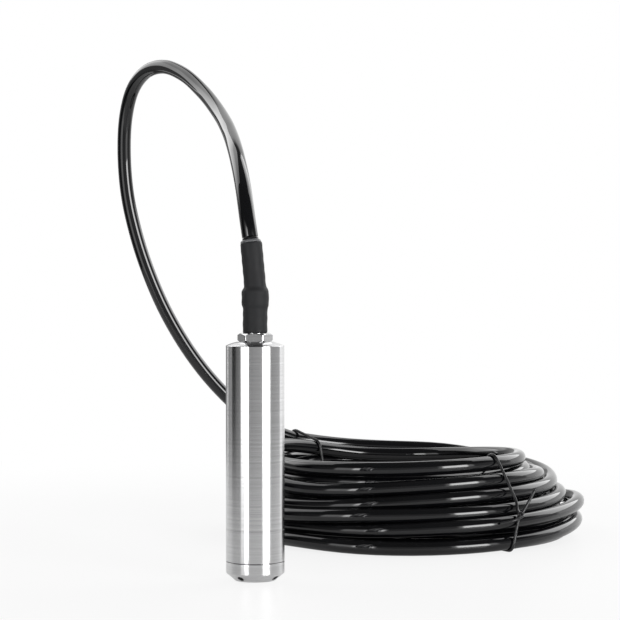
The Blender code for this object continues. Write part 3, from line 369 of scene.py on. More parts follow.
cableShape = {
    "diameter": 7.2 * mm,
    "lead": [  # the route of the solid cable, given point by point
        (0.0, 0.0, 91.5), (0.0, 0.0, 106.0), (0.0, 0.0, 122.0), (0.0, 0.0, 130.0), (-0.8, 0.0, 139.5),
        (-1.8, 0.4, 149.0), (-3.4, 3.0, 160.0), (-5.6, 12.0, 174.5), (-9.2, 36.0, 189.5),
        (-14.2, 73.0, 203.0),
        (-20.6, 107.0, 214.2), (-29.6, 136.0, 226.0), (-40.5, 157.0, 236.3), (-51.5, 173.0, 241.4),
        (-61.5, 187.0, 239.9), (-69.6, 199.5, 231.5), (-73.7, 206.0, 218.3), (-75.1, 209.5, 200.2),
        (-73.7, 211.0, 177.5), (-69.5, 212.0, 156.9), (-62.8, 212.5, 135.6), (-53.1, 213.0, 113.1),
        (-40.0, 214.0, 90.9), (-25.3, 216.0, 72.3), (-9.1, 219.0, 57.1),
    ],
    "tail": [
        (80.0, 222.7, 3.7), (89.0, 215.8, 3.7), (96.4, 204.1, 3.7), (100.4, 187.9, 3.7), (99.3, 173.6, 3.7),
    ],
    "centre": (74.4, 166.0),
    "pointsPerTurn": 64,
    "floorHeight": 3.65,
    "step": 2.5 * mm,
    "fineStep": 1.0 * mm,
    "intoEntry": 0.6 * mm,
    "intoSleeve": 1.5 * mm,
    "uprightBelow": 200 * mm,
    # turns in the order of the cable, as angle from +X, radius and height; seen from above they run
    # from the left over the back to the right
    "turns": [
        (140, 88.0, 47.2), (128, 82.7, 41.2), (113, 78.3, 38.0), (90, 76.0, 37.4), (37, 81.0, 31.6),
        (0, 73.2, 28.3), (-38, 75.0, 28.0), (-90, 78.5, 25.2), (-135, 79.0, 20.6), (-180, 85.0, 22.0),
        (-270, 84.0, 16.4), (-360, 77.9, 22.5), (-405, 81.0, 20.0), (-450, 82.5, 18.5),
        (-495, 85.5, 16.4), (-540, 85.0, 14.8),
        (-630, 86.0, 10.0), (-694, 89.5, 15.4), (-720, 88.8, 18.2), (-750, 84.0, 15.0),
        (-810, 86.0, 12.4), (-855, 80.5, 10.2), (-900, 88.0, 8.8),
        (-990, 88.0, 3.7), (-1062, 87.5, 7.6), (-1080, 86.6, 9.4), (-1125, 86.0, 5.4),
        (-1170, 89.5, 3.7), (-1197, 88.0, 3.9), (-1215, 86.5, 6.0), (-1260, 84.0, 3.7),
        (-1350, 80.8, 3.7), (-1440, 79.4, 3.7), (-1530, 79.3, 3.7), (-1575, 78.7, 3.7),
        (-1620, 77.0, 3.7),
        (-1710, 78.6, 10.1), (-1800, 80.0, 10.7), (-1890, 79.2, 10.7), (-1935, 72.5, 8.6),
        (-1980, 77.5, 10.6),
        (-2070, 76.6, 16.4), (-2160, 71.5, 16.6), (-2250, 75.3, 17.2), (-2295, 72.5, 15.8),
        (-2340, 77.6, 17.6),
        (-2430, 78.5, 22.7), (-2520, 66.5, 22.2), (-2610, 71.3, 23.5), (-2655, 71.5, 23.5),
        (-2700, 77.6, 24.8),
        (-2790, 71.5, 24.0), (-2880, 59.8, 26.6), (-2970, 64.2, 24.6), (-3015, 64.5, 26.0),
        (-3060, 70.3, 25.5),
        (-3110, 72.0, 33.0), (-3150, 70.2, 30.5), (-3240, 59.6, 34.2), (-3330, 68.3, 33.0),
        (-3420, 71.5, 32.5),
        (-3470, 79.0, 34.5), (-3510, 77.5, 30.5), (-3600, 66.1, 31.3), (-3642, 73.0, 33.6),
        (-3690, 75.5, 31.8), (-3735, 78.5, 28.5), (-3762, 81.0, 34.0), (-3780, 80.5, 40.0),
        (-3800, 77.0, 44.0), (-3822, 70.5, 41.0), (-3842, 66.7, 35.6), (-3870, 64.5, 34.4),
        (-3916, 56.5, 37.8), (-3960, 55.3, 40.4), (-4011, 68.0, 41.6), (-4050, 72.0, 40.2),
        (-4095, 74.0, 39.0), (-4115, 71.5, 38.6), (-4140, 66.8, 35.5), (-4160, 64.6, 29.5),
        (-4180, 64.4, 21.5), (-4190, 65.4, 16.8), (-4200, 65.6, 12.5), (-4209, 64.9, 9.0),
        (-4217, 63.4, 6.5), (-4227, 60.4, 4.4),
    ],
}
# farAway and ownGap, in millimetres, keep empty places and a turn itself out of the pushing
settling = {"rounds": 60, "push": 0.3, "smoothEvery": 6, "farAway": 900.0, "ownGap": 100.0}


def coilSweep():
    # angle goes evenly, radius and height follow cubics through the written turns
    turns = np.array(cableShape["turns"], float)
    along = -turns[:, 0]
    share = math.tau / cableShape["pointsPerTurn"]
    even = np.arange(math.radians(along[0]), math.radians(along[-1]), share)
    even = np.append(even, math.radians(along[-1]))
    along = np.radians(along)

    def follow(values):
        slopes = np.gradient(values, along)
        inner = np.diff(values) / np.diff(along)
        flat = np.concatenate([[False], inner[:-1] * inner[1:] <= 0, [False]])
        slopes = np.where(flat, 0.4 * slopes, slopes)
        index = np.clip(np.searchsorted(along, even, side="right") - 1, 0, len(along) - 2)
        width = along[index + 1] - along[index]
        t = (even - along[index]) / width
        return ((2 * t**3 - 3 * t**2 + 1) * values[index] + (t**3 - 2 * t**2 + t) * width * slopes[index]
                + (3 * t**2 - 2 * t**3) * values[index + 1] + (t**3 - t**2) * width * slopes[index + 1])

    return even, *settle(follow(turns[:, 1]), follow(turns[:, 2]))


def settle(radius, height):
    # turns closer than a diameter at the same angle push each other apart, and none sinks into the floor
    count = len(radius)
    perTurn = cableShape["pointsPerTurn"]
    diameter = cableShape["diameter"] / mm
    rows = -(-count // perTurn)
    spare = rows * perTurn - count
    for turn in range(settling["rounds"]):
        r = np.append(radius, np.full(spare, settling["farAway"])).reshape(rows, perTurn)
        z = np.append(height, np.zeros(spare)).reshape(rows, perTurn)
        acrossR = r[:, None] - r[None]
        acrossZ = z[:, None] - z[None]
        apart = np.hypot(acrossR, acrossZ) + settling["ownGap"] * np.eye(rows)[:, :, None]
        push = settling["push"] * np.clip(diameter - apart, 0.0, None) / apart
        radius = radius + (push * acrossR).sum(axis=1).ravel()[:count]
        height = height + (push * acrossZ).sum(axis=1).ravel()[:count]
        if turn % settling["smoothEvery"] == 0:
            for line in (radius, height):
                line[2:-2] = (line[1:-3] + 2 * line[2:-2] + line[3:-1]) / 4
        height = np.maximum(height, cableShape["floorHeight"])
    return radius, height


def coilLine():
    # (cx + r cos t, cy + r sin t, z)
    even, radius, height = coilSweep()
    x = cableShape["centre"][0] + radius * np.cos(-even)
    y = cableShape["centre"][1] + radius * np.sin(-even)
    return np.stack([x, y, height], axis=1) * mm


def leadPath():
    # the whole lead from inside the gland's neck to the first turn
    lead = np.array(cableShape["lead"]) * mm
    ring = coilLine()
    line = smoothLine(np.vstack([lead, ring[:4]]), cableShape["fineStep"])
    return line[:np.argmin(np.linalg.norm(line - ring[0], axis=1))]


leadRoute = leadPath()
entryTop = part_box("cable_entry")[1].z
firstLoop = np.argmax(leadRoute[:, 2] > cableShape["uprightBelow"])


def cableLine():
    # lead, coil and tail in one line, from the end of the solid entry into the tail's sleeve
    tail = np.array(cableShape["tail"]) * mm
    ring = coilLine()
    start = np.argmax(leadRoute[:, 2] > entryTop - cableShape["intoEntry"])
    leadLine = evenly(leadRoute[start:], cableShape["step"])
    tailLine = smoothLine(np.vstack([ring[-4:], tail]), cableShape["step"])
    tailLine = tailLine[np.argmin(np.linalg.norm(tailLine - ring[-1], axis=1)) + 1:]
    tailLine[:, 2] = np.maximum(tailLine[:, 2], cableShape["floorHeight"] * mm)
    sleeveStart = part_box("tail_sleeve")[1].y - cableShape["intoSleeve"]
    return np.vstack([leadLine, ring, tailLine[tailLine[:, 1] > sleeveStart]])


centreLine = cableLine()
cable = linkCurve("submersible_cable", centreLine, cableShape["diameter"] / 2, jacket, 9)
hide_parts("cable_run", "cable_coil", "cable_tail")
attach(cable, "transmitter")
print("cable length in metres:", round(lineLength(centreLine), 3))


# Ties round the coil

tieShape = {
    "radius": 0.72 * mm, "clearance": 0.05 * mm, "loopStep": 1.2 * mm, "wireStep": 0.6 * mm,
    "strandGap": 1.02, "pointsPerTwist": 14, "circlePoints": 32,
    "coil_tie_right": {
        "heights": (4, 12, 24, 45), "angles": (-58.0, -56.5, -53.5, -54.5),  # degrees from +X
        "knot": 18.0 * mm, "twists": 2.2, "pitch": 2.6 * mm,
        "ends": [((3.2, 2.0, 5.0), (6.8, 3.5, 11.5)), ((-4.0, -4.0, -1.6), (-11.5, -5.2, -3.2))],
    },
    "coil_tie_left": {
        "heights": (4, 45), "angles": (133.0, 133.0),
        "knot": 22.0 * mm, "twists": 2.6, "pitch": 2.8 * mm,
        "ends": [((-1.0, 4.0, 2.5), (-1.0, 8.0, 6.0)), ((-3.0, 2.0, -3.0), (-5.5, 4.0, -7.0))],
    },
}


def turnSections(degrees):
    # radius and height of every turn of the coil where it passes an angle
    along, radius, height = coilSweep()
    first = (-math.radians(degrees) - along[0]) % math.tau + along[0]
    places = np.arange(first, along[-1], math.tau)
    return np.stack([np.interp(places, along, radius), np.interp(places, along, height)], axis=1) * mm


def hullLine(points):
    # convex outline of points in a plane, counter-clockwise
    order = sorted(map(tuple, points))
    halves = []
    for run in (order, order[::-1]):
        chain = []
        for point in run:
            while len(chain) > 1:
                (ax, ay), (bx, by) = chain[-2], chain[-1]
                if (bx - ax) * (point[1] - ay) - (by - ay) * (point[0] - ax) > 0:
                    break
                chain.pop()
            chain.append(point)
        halves += chain[:-1]
    return np.array(halves)


def tieLoop(shape):
    # the wire's way round the turns from the knot back to it, and the angle of the knot
    reach = cableShape["diameter"] / 2 + tieShape["radius"] + tieShape["clearance"]
    sections = turnSections(float(np.mean(shape["angles"])))
    ring = np.linspace(0.0, math.tau, tieShape["circlePoints"], endpoint=False)
    circle = np.stack([np.cos(ring), np.sin(ring)], axis=1) * reach
    loop = hullLine((sections[:, None, :] + circle[None, :, :]).reshape(-1, 2))
    loop[:, 1] = np.maximum(loop[:, 1], tieShape["radius"] + tieShape["clearance"])
    loop = evenly(np.vstack([loop, loop[:1]]), tieShape["loopStep"])[:-1]
    outer = np.nonzero(loop[:, 0] > sections[:, 0].mean())[0]
    start = outer[np.argmin(np.abs(loop[outer, 1] - shape["knot"]))]
    loop = np.roll(loop, -start, axis=0)
    turn = np.radians(np.interp(loop[:, 1] / mm, shape["heights"], shape["angles"]))
    centre = np.array(cableShape["centre"]) * mm
    line = np.stack([centre[0] + loop[:, 0] * np.cos(turn), centre[1] + loop[:, 0] * np.sin(turn),
                     loop[:, 1]], axis=1)
    return evenly(np.vstack([line, line[:1]]), tieShape["loopStep"]), turn[0]


def tieLine(shape):
    # the loop drawn tight, and its two ends twisted together outwards from the knot
    line, angle = tieLoop(shape)
    outward = np.array([math.cos(angle), math.sin(angle), 0.0])
    side = np.array([0.0, 0.0, 1.0])
    across = np.cross(outward, side)
    spread = tieShape["radius"] * tieShape["strandGap"]
    knot = line[0] + outward * spread
    share = np.linspace(0.0, 1.0, int(tieShape["pointsPerTwist"] * shape["twists"]))[:, None]
    swing = share * shape["twists"] * math.pi
    axis = knot + outward * share * shape["twists"] * shape["pitch"] / 2
    one = axis + (side * np.cos(swing) + across * np.sin(swing)) * spread
    other = axis - (side * np.cos(swing) + across * np.sin(swing)) * spread
    ends = [strand[-1] + np.array(points) * mm for strand, points in zip((one, other), shape["ends"])]
    middle = line[2:-2]
    if middle[0][2] < middle[-1][2]:
        middle = middle[::-1]
    whole = np.vstack([ends[1][::-1], other[::-1], middle[::-1], one, ends[0]])
    return smoothLine(whole, tieShape["wireStep"])


def makeTies():
    made = []
    for name in ("coil_tie_right", "coil_tie_left"):
        wire = linkCurve(name + "_wire", tieLine(tieShape[name]), tieShape["radius"], tieWire, 4)
        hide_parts(name)
        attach(wire, "transmitter")
        made.append(wire)
    return made


ties = makeTies()
print("ties made")


# Steel probe, turned from the sizes of the CAD nodes

probeShape = {"wall": 2.0 * mm, "seat": 1.1 * mm, "stemHole": 6.1 * mm, "seatRadius": 6.94 * mm,
              "shoulderWidth": 5.0 * mm, "shoulderRise": 1.6 * mm, "edge": 0.18 * mm,
              "endWall": 4.8 * mm, "seam": 0.05 * mm}


def roundedCorner(before, corner, after, radius, count=4):
    # an arc that rounds the corner between two straight sides, with a point on each side to keep it flat
    before, corner, after = (np.array(point, float) for point in (before, corner, after))
    inward = (before - corner) / np.linalg.norm(before - corner)
    outward = (after - corner) / np.linalg.norm(after - corner)
    t = np.linspace(0.0, 1.0, count)[:, None]
    start, end = corner + inward * radius, corner + outward * radius
    arc = (1 - t) ** 2 * start + 2 * t * (1 - t) * corner + t**2 * end
    first, last = ((corner + side * radius * 1.5).tolist() for side in (inward, outward))
    return [first, *arc.tolist(), last]


def roundedOutline(points, radii):
    # the closed outline with each corner rounded by its own radius, 0 keeps it sharp
    outline = []
    for index, (point, radius) in enumerate(zip(points, radii)):
        if radius == 0:
            outline.append(list(point))
        else:
            outline += roundedCorner(points[index - 1], point, points[(index + 1) % len(points)], radius)
    return outline


def makeTube():
    # straight wall from the seam up, then r = R - w (1 - s), z = top - rise s^1.4 over the shoulder
    low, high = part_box("main_tube")
    radius = high.x
    share = np.linspace(0.0, 1.0, 14)
    shoulder = np.stack([radius - probeShape["shoulderWidth"] * (1 - share),
                         high.z - probeShape["shoulderRise"] * share**1.4], axis=1).tolist()
    hole, seat = probeShape["stemHole"], probeShape["seatRadius"]
    inner = radius - probeShape["wall"]
    wallTop = shoulder[-1][1] - probeShape["endWall"]
    lastCorner = roundedCorner(shoulder[-2], shoulder[-1], (radius, low.z), probeShape["edge"])
    lower = roundedCorner((radius, high.z), (radius, low.z), (inner, low.z), probeShape["seam"])
    outline = [(hole, high.z - probeShape["seat"]), (seat, high.z - probeShape["seat"]), (seat, high.z),
               *shoulder[:-1], *lastCorner, *lower, (inner, low.z), (inner, wallTop), (hole, wallTop)]
    tube = turnedPiece("main_tube_turned", outline, steel)
    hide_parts("main_tube")
    return tube


housingShape = {"ledge": 8.0 * mm, "bore": 9.8 * mm, "threadBore": 10.4 * mm, "grooveHeight": 2.0 * mm,
                "grooveDepth": 1.3 * mm, "spigotGap": 0.3 * mm, "headerGap": 0.3 * mm,
                "edge": 0.2 * mm}


def makeHousing():
    low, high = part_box("sensor_housing")
    radius = high.x
    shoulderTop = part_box("main_tube")[0].z - probeShape["seam"]
    spigot = radius - probeShape["wall"] - housingShape["spigotGap"]
    middle = (shoulderTop + high.z) / 2
    groove = housingShape["grooveHeight"] / 2
    floorRadius = spigot - housingShape["grooveDepth"]
    ledge, bore, thread = housingShape["ledge"], housingShape["bore"], housingShape["threadBore"]
    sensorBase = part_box("sensor_diaphragm")[0].z
    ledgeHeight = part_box("sensor_header")[1].z + housingShape["headerGap"]
    points = [(ledge, high.z), (spigot, high.z), (spigot, middle + groove), (floorRadius, middle + groove),
              (floorRadius, middle - groove), (spigot, middle - groove), (spigot, shoulderTop),
              (radius, shoulderTop), (radius, low.z), (thread, low.z), (thread, sensorBase),
              (bore, sensorBase), (bore, ledgeHeight), (ledge, ledgeHeight)]
    edge = housingShape["edge"]
    radii = [0, edge, 0, 0, 0, 0, 0, probeShape["seam"], edge, 0, 0, 0, 0, 0]
    housing = turnedPiece("sensor_housing_turned", roundedOutline(points, radii), steel)
    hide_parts("sensor_housing")
    return housing


capShape = {"footRadius": 8.85 * mm, "chamferHeight": 3.5 * mm, "chamberRadius": 8.0 * mm,
            "floor": 2.5 * mm, "threadRadius": 10.3 * mm, "threadWall": 2.1 * mm, "edge": 0.16 * mm,
            "chamferEdge": 0.35 * mm, "footEdge": 0.3 * mm, "gap": 0.3 * mm, "axis": 0.05 * mm,
            "portRadius": 1.5 * mm, "ports": 4, "firstPort": 235.0, "drillReach": 3 * mm}


def cylinderMesh(name, start, end, radius, segments=48):
    start, end = Vector(start), Vector(end)
    shape = bmesh.new()
    bmesh.ops.create_cone(shape, cap_ends=True, segments=segments, radius1=radius, radius2=radius,
                          depth=(end - start).length)
    turn = (end - start).to_track_quat("Z", "Y").to_matrix().to_4x4()
    shape.transform(Matrix.Translation((start + end) / 2) @ turn)
    mesh = bpy.data.meshes.new(name)
    shape.to_mesh(mesh)
    shape.free()
    return mesh


def cutAway(piece, meshes):
    # drill each shape out of the piece, then apply the cuts to its mesh
    for mesh in meshes:
        drill = bpy.data.objects.new("drill", mesh)
        bpy.context.scene.collection.objects.link(drill)
        cut = piece.modifiers.new("drill", "BOOLEAN")
        cut.object = drill
        cut.solver = "EXACT"
    bpy.context.view_layer.update()
    shape = piece.evaluated_get(bpy.context.evaluated_depsgraph_get())
    cutMesh = bpy.data.meshes.new_from_object(shape)
    piece.modifiers.clear()
    piece.data = cutMesh
    for item in [o for o in bpy.data.objects if o.name.startswith("drill")]:
        bpy.data.objects.remove(item, do_unlink=True)
    cutMesh.set_sharp_from_angle(angle=math.radians(25.0))


def makeCap():
    # plug with its chamber open upwards, and four ports square to the cone of the foot
    low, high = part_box("nose_cap")
    radius = high.x
    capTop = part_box("sensor_housing")[0].z - capShape["gap"]
    foot, chamber, thread = capShape["footRadius"], capShape["chamberRadius"], capShape["threadRadius"]
    chamfer, edge = capShape["chamferHeight"], capShape["edge"]
    points = [(chamber, capShape["floor"]), (chamber, capTop), (thread - capShape["threadWall"], high.z),
              (thread, high.z), (thread, capTop), (radius, capTop), (radius, chamfer), (foot, 0.0)]
    radii = [0, 0, 0, edge, 0, edge, capShape["chamferEdge"], capShape["footEdge"]]
    inner = [(capShape["axis"], capShape["floor"])]
    outline = inner + roundedOutline(points, radii) + [(capShape["axis"], 0.0)]
    cap = turnedPiece("nose_cap_turned", outline, steel, closed=False)
    run = radius - foot
    slope = math.hypot(run, chamfer)
    outward = (chamfer / slope, -run / slope)
    middle = ((radius + foot) / 2, chamfer / 2)
    reach = 1.4 * (middle[0] - chamber) / outward[0]
    drills = []
    for index in range(capShape["ports"]):
        angle = math.radians(capShape["firstPort"]) + math.tau * index / capShape["ports"]
        ends = []
        for along in (-reach, capShape["drillReach"]):
            r = middle[0] + along * outward[0]
            ends.append((r * math.cos(angle), r * math.sin(angle), middle[1] + along * outward[1]))
        drills.append(cylinderMesh("portDrill", ends[0], ends[1], capShape["portRadius"]))
    cutAway(cap, drills)
    for layer in list(cap.data.uv_layers):
        cap.data.uv_layers.remove(layer)
    addTurnedUv(cap)
    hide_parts("nose_cap")
    return cap


glandShape = {"acrossFlats": 14.0 * mm, "corner": 7.9 * mm, "chamfer": 0.75 * mm,
              "chamferRadius": 6.9 * mm, "turn": -2.9, "hexHeight": 3.75 * mm,
              "stem": 5.8 * mm, "bore": 4.8 * mm,
              "neck": 4.5 * mm, "cableBore": 3.9 * mm, "segments": 360}


def makeGland():
    # the turned outline r(z), cut to a hexagon: r = min(r(z), half flats / cos(angle from the flat))
    low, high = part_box("gland_body")
    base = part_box("main_tube")[1].z + probeShape["seam"]
    top = base + glandShape["hexHeight"]
    corner, chamfer = glandShape["corner"], glandShape["chamfer"]
    share = np.linspace(0.0, 1.0, 12)[:, None]
    first, second = np.array([glandShape["chamferRadius"], base]), np.array([corner, base + chamfer])
    third, fourth = np.array([corner, top - chamfer]), np.array([glandShape["chamferRadius"], top])
    hexOutline = np.vstack([first + (second - first) * share, second + (third - second) * share[1:],
                            third + (fourth - third) * share[1:]])
    outline = np.vstack([
        [(glandShape["bore"], low.z), (glandShape["stem"], low.z), (glandShape["stem"], base)], hexOutline,
        [(glandShape["neck"], top), (glandShape["neck"], high.z), (glandShape["cableBore"], high.z),
         (glandShape["cableBore"], base), (glandShape["bore"], base)]])
    count = glandShape["segments"]
    points = turnedGrid(outline, count)
    angle = np.arctan2(points[:, 1], points[:, 0]) - math.radians(glandShape["turn"])
    fromFlat = (angle % (math.pi / 3)) - math.pi / 6
    limit = glandShape["acrossFlats"] / 2 / np.cos(fromFlat)
    radius = np.hypot(points[:, 0], points[:, 1])
    scale = np.minimum(1.0, limit / radius)
    points[:, :2] *= scale[:, None]
    body = linkMesh("gland_body_turned", points, gridFaces(len(outline), count, True, True), steel, 20.0)
    recalculate(body)
    addTurnedUv(body)
    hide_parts("gland_body")
    return body


for made, body in ((makeTube(), "transmitter"), (makeHousing(), "transmitter"),
                   (makeGland(), "transmitter"), (makeCap(), "nose_cap")):
    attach(made, body)
print("steel pieces turned")


# Shrunk sleeve and its adhesive bead, carried along the lead

sleeveShape = {
    "bore": 3.9 * mm, "topWall": 0.95 * mm, "neckOuter": 5.45 * mm, "ferruleOuter": 6.05 * mm,
    "neckBore": 4.8 * mm, "ferruleBore": 5.4 * mm, "taper": 1.6 * mm, "length": 40.0 * mm,
    "wrinkle": 0.07 * mm,
}


def sweptRing(name, along, outer, inner, material, wrinkle=0.0, segments=96):
    # a ring of radius outer(s) and bore inner(s) carried along the lead's line, s is the length on it
    line = leadRoute[:firstLoop]
    lengths = lengthsAlong(line)
    place = np.stack([np.interp(along, lengths, line[:, axis]) for axis in range(3)], axis=1)
    tangent = np.gradient(line, lengths, axis=0)
    tangent = np.stack([np.interp(along, lengths, tangent[:, axis]) for axis in range(3)], axis=1)
    tangent /= np.linalg.norm(tangent, axis=1)[:, None]
    side = np.array([[1.0, 0.0, 0.0]]) - tangent * tangent[:, :1]
    side /= np.linalg.norm(side, axis=1)[:, None]
    front = np.cross(tangent, side)
    angle = np.linspace(0.0, math.tau, segments, endpoint=False)
    cosine, sine = np.cos(angle)[None, :, None], np.sin(angle)[None, :, None]
    swing = side[:, None, :] * cosine + front[:, None, :] * sine
    s = along[:, None] / mm
    waves = (np.sin(3 * angle[None, :] + 0.8 * s) * np.sin(0.55 * s + 1.3)
             + 0.6 * np.sin(5 * angle[None, :] - 0.45 * s + 2.0) * np.sin(0.9 * s))
    radius = outer[:, None] + wrinkle * waves
    outside = place[:, None, :] + swing * radius[:, :, None]
    inside = place[:, None, :] + swing * np.broadcast_to(inner[:, None, None], (len(along), segments, 1))
    points = np.vstack([outside.reshape(-1, 3), inside[::-1].reshape(-1, 3)])
    piece = linkMesh(name, points, gridFaces(2 * len(along), segments, True, True), material, 40.0)
    recalculate(piece)
    return piece


def heightToLength(height):
    line = leadRoute[:firstLoop]
    lengths = lengthsAlong(line)
    return float(np.interp(height, line[:, 2], lengths))


def makeSleeve():
    # tight on the neck, out over the ferrule with soft shoulders, then in on to the cable
    shape = sleeveShape
    start = heightToLength(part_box("main_tube")[1].z + glandShape["hexHeight"] + 0.2 * mm)
    end = start + shape["length"]
    under = heightToLength(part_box("crimp_ferrule")[0].z)
    over = heightToLength(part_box("crimp_ferrule")[1].z + 0.3 * mm)
    soft = shape["taper"] / 2
    stations = [start, start + 0.25 * mm, under - soft - 1.2 * mm, under - soft, under + 0.2 * mm,
                under + 1.4 * mm, over - 1.2 * mm, over, over + shape["taper"],
                over + shape["taper"] + 1.6 * mm, end - 0.35 * mm, end]
    top = shape["bore"] + shape["topWall"]
    outer = [shape["neckOuter"] - 0.2 * mm, shape["neckOuter"], shape["neckOuter"],
             shape["neckOuter"] + 0.08 * mm, shape["ferruleOuter"] - 0.1 * mm, shape["ferruleOuter"],
             shape["ferruleOuter"], shape["ferruleOuter"] - 0.12 * mm, top + 0.1 * mm, top, top,
             top - 0.2 * mm]
    along = np.linspace(start, end, 150)
    outerRadius = np.interp(along, stations, outer)
    kernel = np.hanning(7)
    padded = np.pad(outerRadius, 3, mode="edge")
    outerRadius = np.convolve(padded, kernel / kernel.sum(), mode="valid")
    outerRadius[[0, -1]] -= 0.15 * mm
    inner = np.interp(along, [start, under - soft, under, over, over + shape["taper"], end],
                      [shape["neckBore"], shape["neckBore"], shape["ferruleBore"], shape["ferruleBore"],
                       shape["bore"], shape["bore"]])
    piece = sweptRing("strain_sleeve_shrunk", along, outerRadius, inner, sleeveBlack, shape["wrinkle"])
    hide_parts("strain_sleeve")
    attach(piece, "transmitter")
    return end


beadShape = {"start": 0.02 * mm, "end": 1.25 * mm, "points": 16, "rise": 0.78, "sink": 0.06,
             "fullness": 2.4, "thinnest": 3.66 * mm, "bore": 3.62 * mm, "wrinkle": 0.05 * mm}


def makeBead(start):
    # a low rounded collar of adhesive, uneven round the cable
    shape = beadShape
    along = np.linspace(start + shape["start"], start + shape["end"], shape["points"])
    t = np.linspace(0.0, 1.0, shape["points"])
    dome = np.sqrt(np.clip(1.0 - t ** shape["fullness"], 0.0, 1.0))
    outer = sleeveShape["bore"] + (shape["rise"] * dome - shape["sink"]) * mm
    outer = np.maximum(outer, shape["thinnest"])
    inner = np.full(shape["points"], shape["bore"])
    piece = sweptRing("sleeve_adhesive_bead", along, outer, inner, beadGrey, shape["wrinkle"])
    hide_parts("sleeve_adhesive")
    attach(piece, "transmitter")


makeBead(makeSleeve())
print("sleeve made")


# Floor, light and camera

camera = {"place": (24.3, -1000.0, 147.5), "pitch": 1.573, "lens": 131.1, "sensor": 36.0}

data = bpy.data.cameras.new("camera")
data.lens = camera["lens"]
data.sensor_width = camera["sensor"]
data.clip_end = 20.0
viewer = bpy.data.objects.new("camera", data)
viewer.location = Vector(camera["place"]) * mm
viewer.rotation_euler = (math.radians(90.0 - camera["pitch"]), 0.0, 0.0)
bpy.context.scene.collection.objects.link(viewer)
bpy.context.scene.camera = viewer

floorShape = {"centre": (0.06, 0.10), "radius": 0.50, "segments": 96, "white": 0.85, "fade": 0.4,
              "mirrored": 0.35}


def floorMaterial():
    # pale diffuse floor, which the camera sees mostly as white paper with a faint shadow, and which shows
    # as paper by the share "mirrored" in reflections and through glass; "fade" is the share of the radius
    # from which the paper grows to pure white
    material, tree, shader = newMaterial("paleFloor")
    setInputs(shader, Base_Color=(0.86, 0.86, 0.86, 1.0), Roughness=0.35)
    paper = addNode(tree, "ShaderNodeEmission", inputs={"Color": (1.0, 1.0, 1.0, 1.0), "Strength": 1.0})
    light = addNode(tree, "ShaderNodeLightPath")
    mirrored = addMath(tree, "MAXIMUM", light.outputs["Is Glossy Ray"],
                       light.outputs["Is Transmission Ray"])
    mirrored = addMath(tree, "MULTIPLY", mirrored, floorShape["mirrored"])
    seen = addMath(tree, "MAXIMUM", light.outputs["Is Camera Ray"], mirrored)
    place = addNode(tree, "ShaderNodeTexCoord")
    away = addNode(tree, "ShaderNodeVectorMath", operation="DISTANCE",
                   inputs={1: (*floorShape["centre"], 0.0)})
    tree.links.new(place.outputs["Object"], away.inputs[0])
    reach = floorShape["radius"]
    outer = addStep(tree, away.outputs["Value"], floorShape["fade"] * reach, reach)
    amount = addMath(tree, "MULTIPLY", seen, addBlend(tree, outer, floorShape["white"], 1.0))
    mix = addNode(tree, "ShaderNodeMixShader")
    tree.links.new(amount, mix.inputs["Fac"])
    tree.links.new(shader.outputs["BSDF"], mix.inputs[1])
    tree.links.new(paper.outputs["Emission"], mix.inputs[2])
    tree.links.new(mix.outputs["Shader"], tree.nodes["Material Output"].inputs["Surface"])
    return material


ring = np.linspace(0.0, math.tau, floorShape["segments"], endpoint=False)
rim = np.stack([floorShape["centre"][0] + floorShape["radius"] * np.cos(ring),
                floorShape["centre"][1] + floorShape["radius"] * np.sin(ring), np.zeros(len(ring))], axis=1)
floor = linkMesh("floor", rim, [list(range(len(ring)))], floorMaterial())


studio = {
    # brightness seen in mirror-like steel by compass angle from the camera side, right positive
    "bands": [
        (-180, 0.36), (-140, 0.30), (-138, 0.26), (-137, 1.9), (-134, 1.9), (-133, 0.26), (-104, 0.32),
        (-101, 0.0), (-84, 0.0), (-81, 0.11), (-58, 0.26), (-56, 2.2), (-27, 2.2), (-25, 0.32),
        (0, 0.40), (29, 0.46), (31, 2.2), (62, 2.2), (64, 0.38), (113, 0.50), (117, 1.4),
        (150, 1.1), (180, 1.0),
    ],
    # two narrow softboxes inside the bright bands
    "boxes": [(-41, 0.0), (-40, 6.0), (-26, 6.0), (-25, 0.0), (33, 0.0), (34, 11.0), (56, 11.0),
              (57, 0.0)],
    "boxLow": -0.06, "boxHigh": 0.40,
    "low": -0.42, "high": 0.36,  # the bands fade out between these heights, as sine of elevation
    "wallLow": 0.20, "wallHigh": 0.58, "wall": 1.0,  # white wall behind the object
    "ceiling": 0.10, "ground": 0.16,
    "strength": 1.0,
}


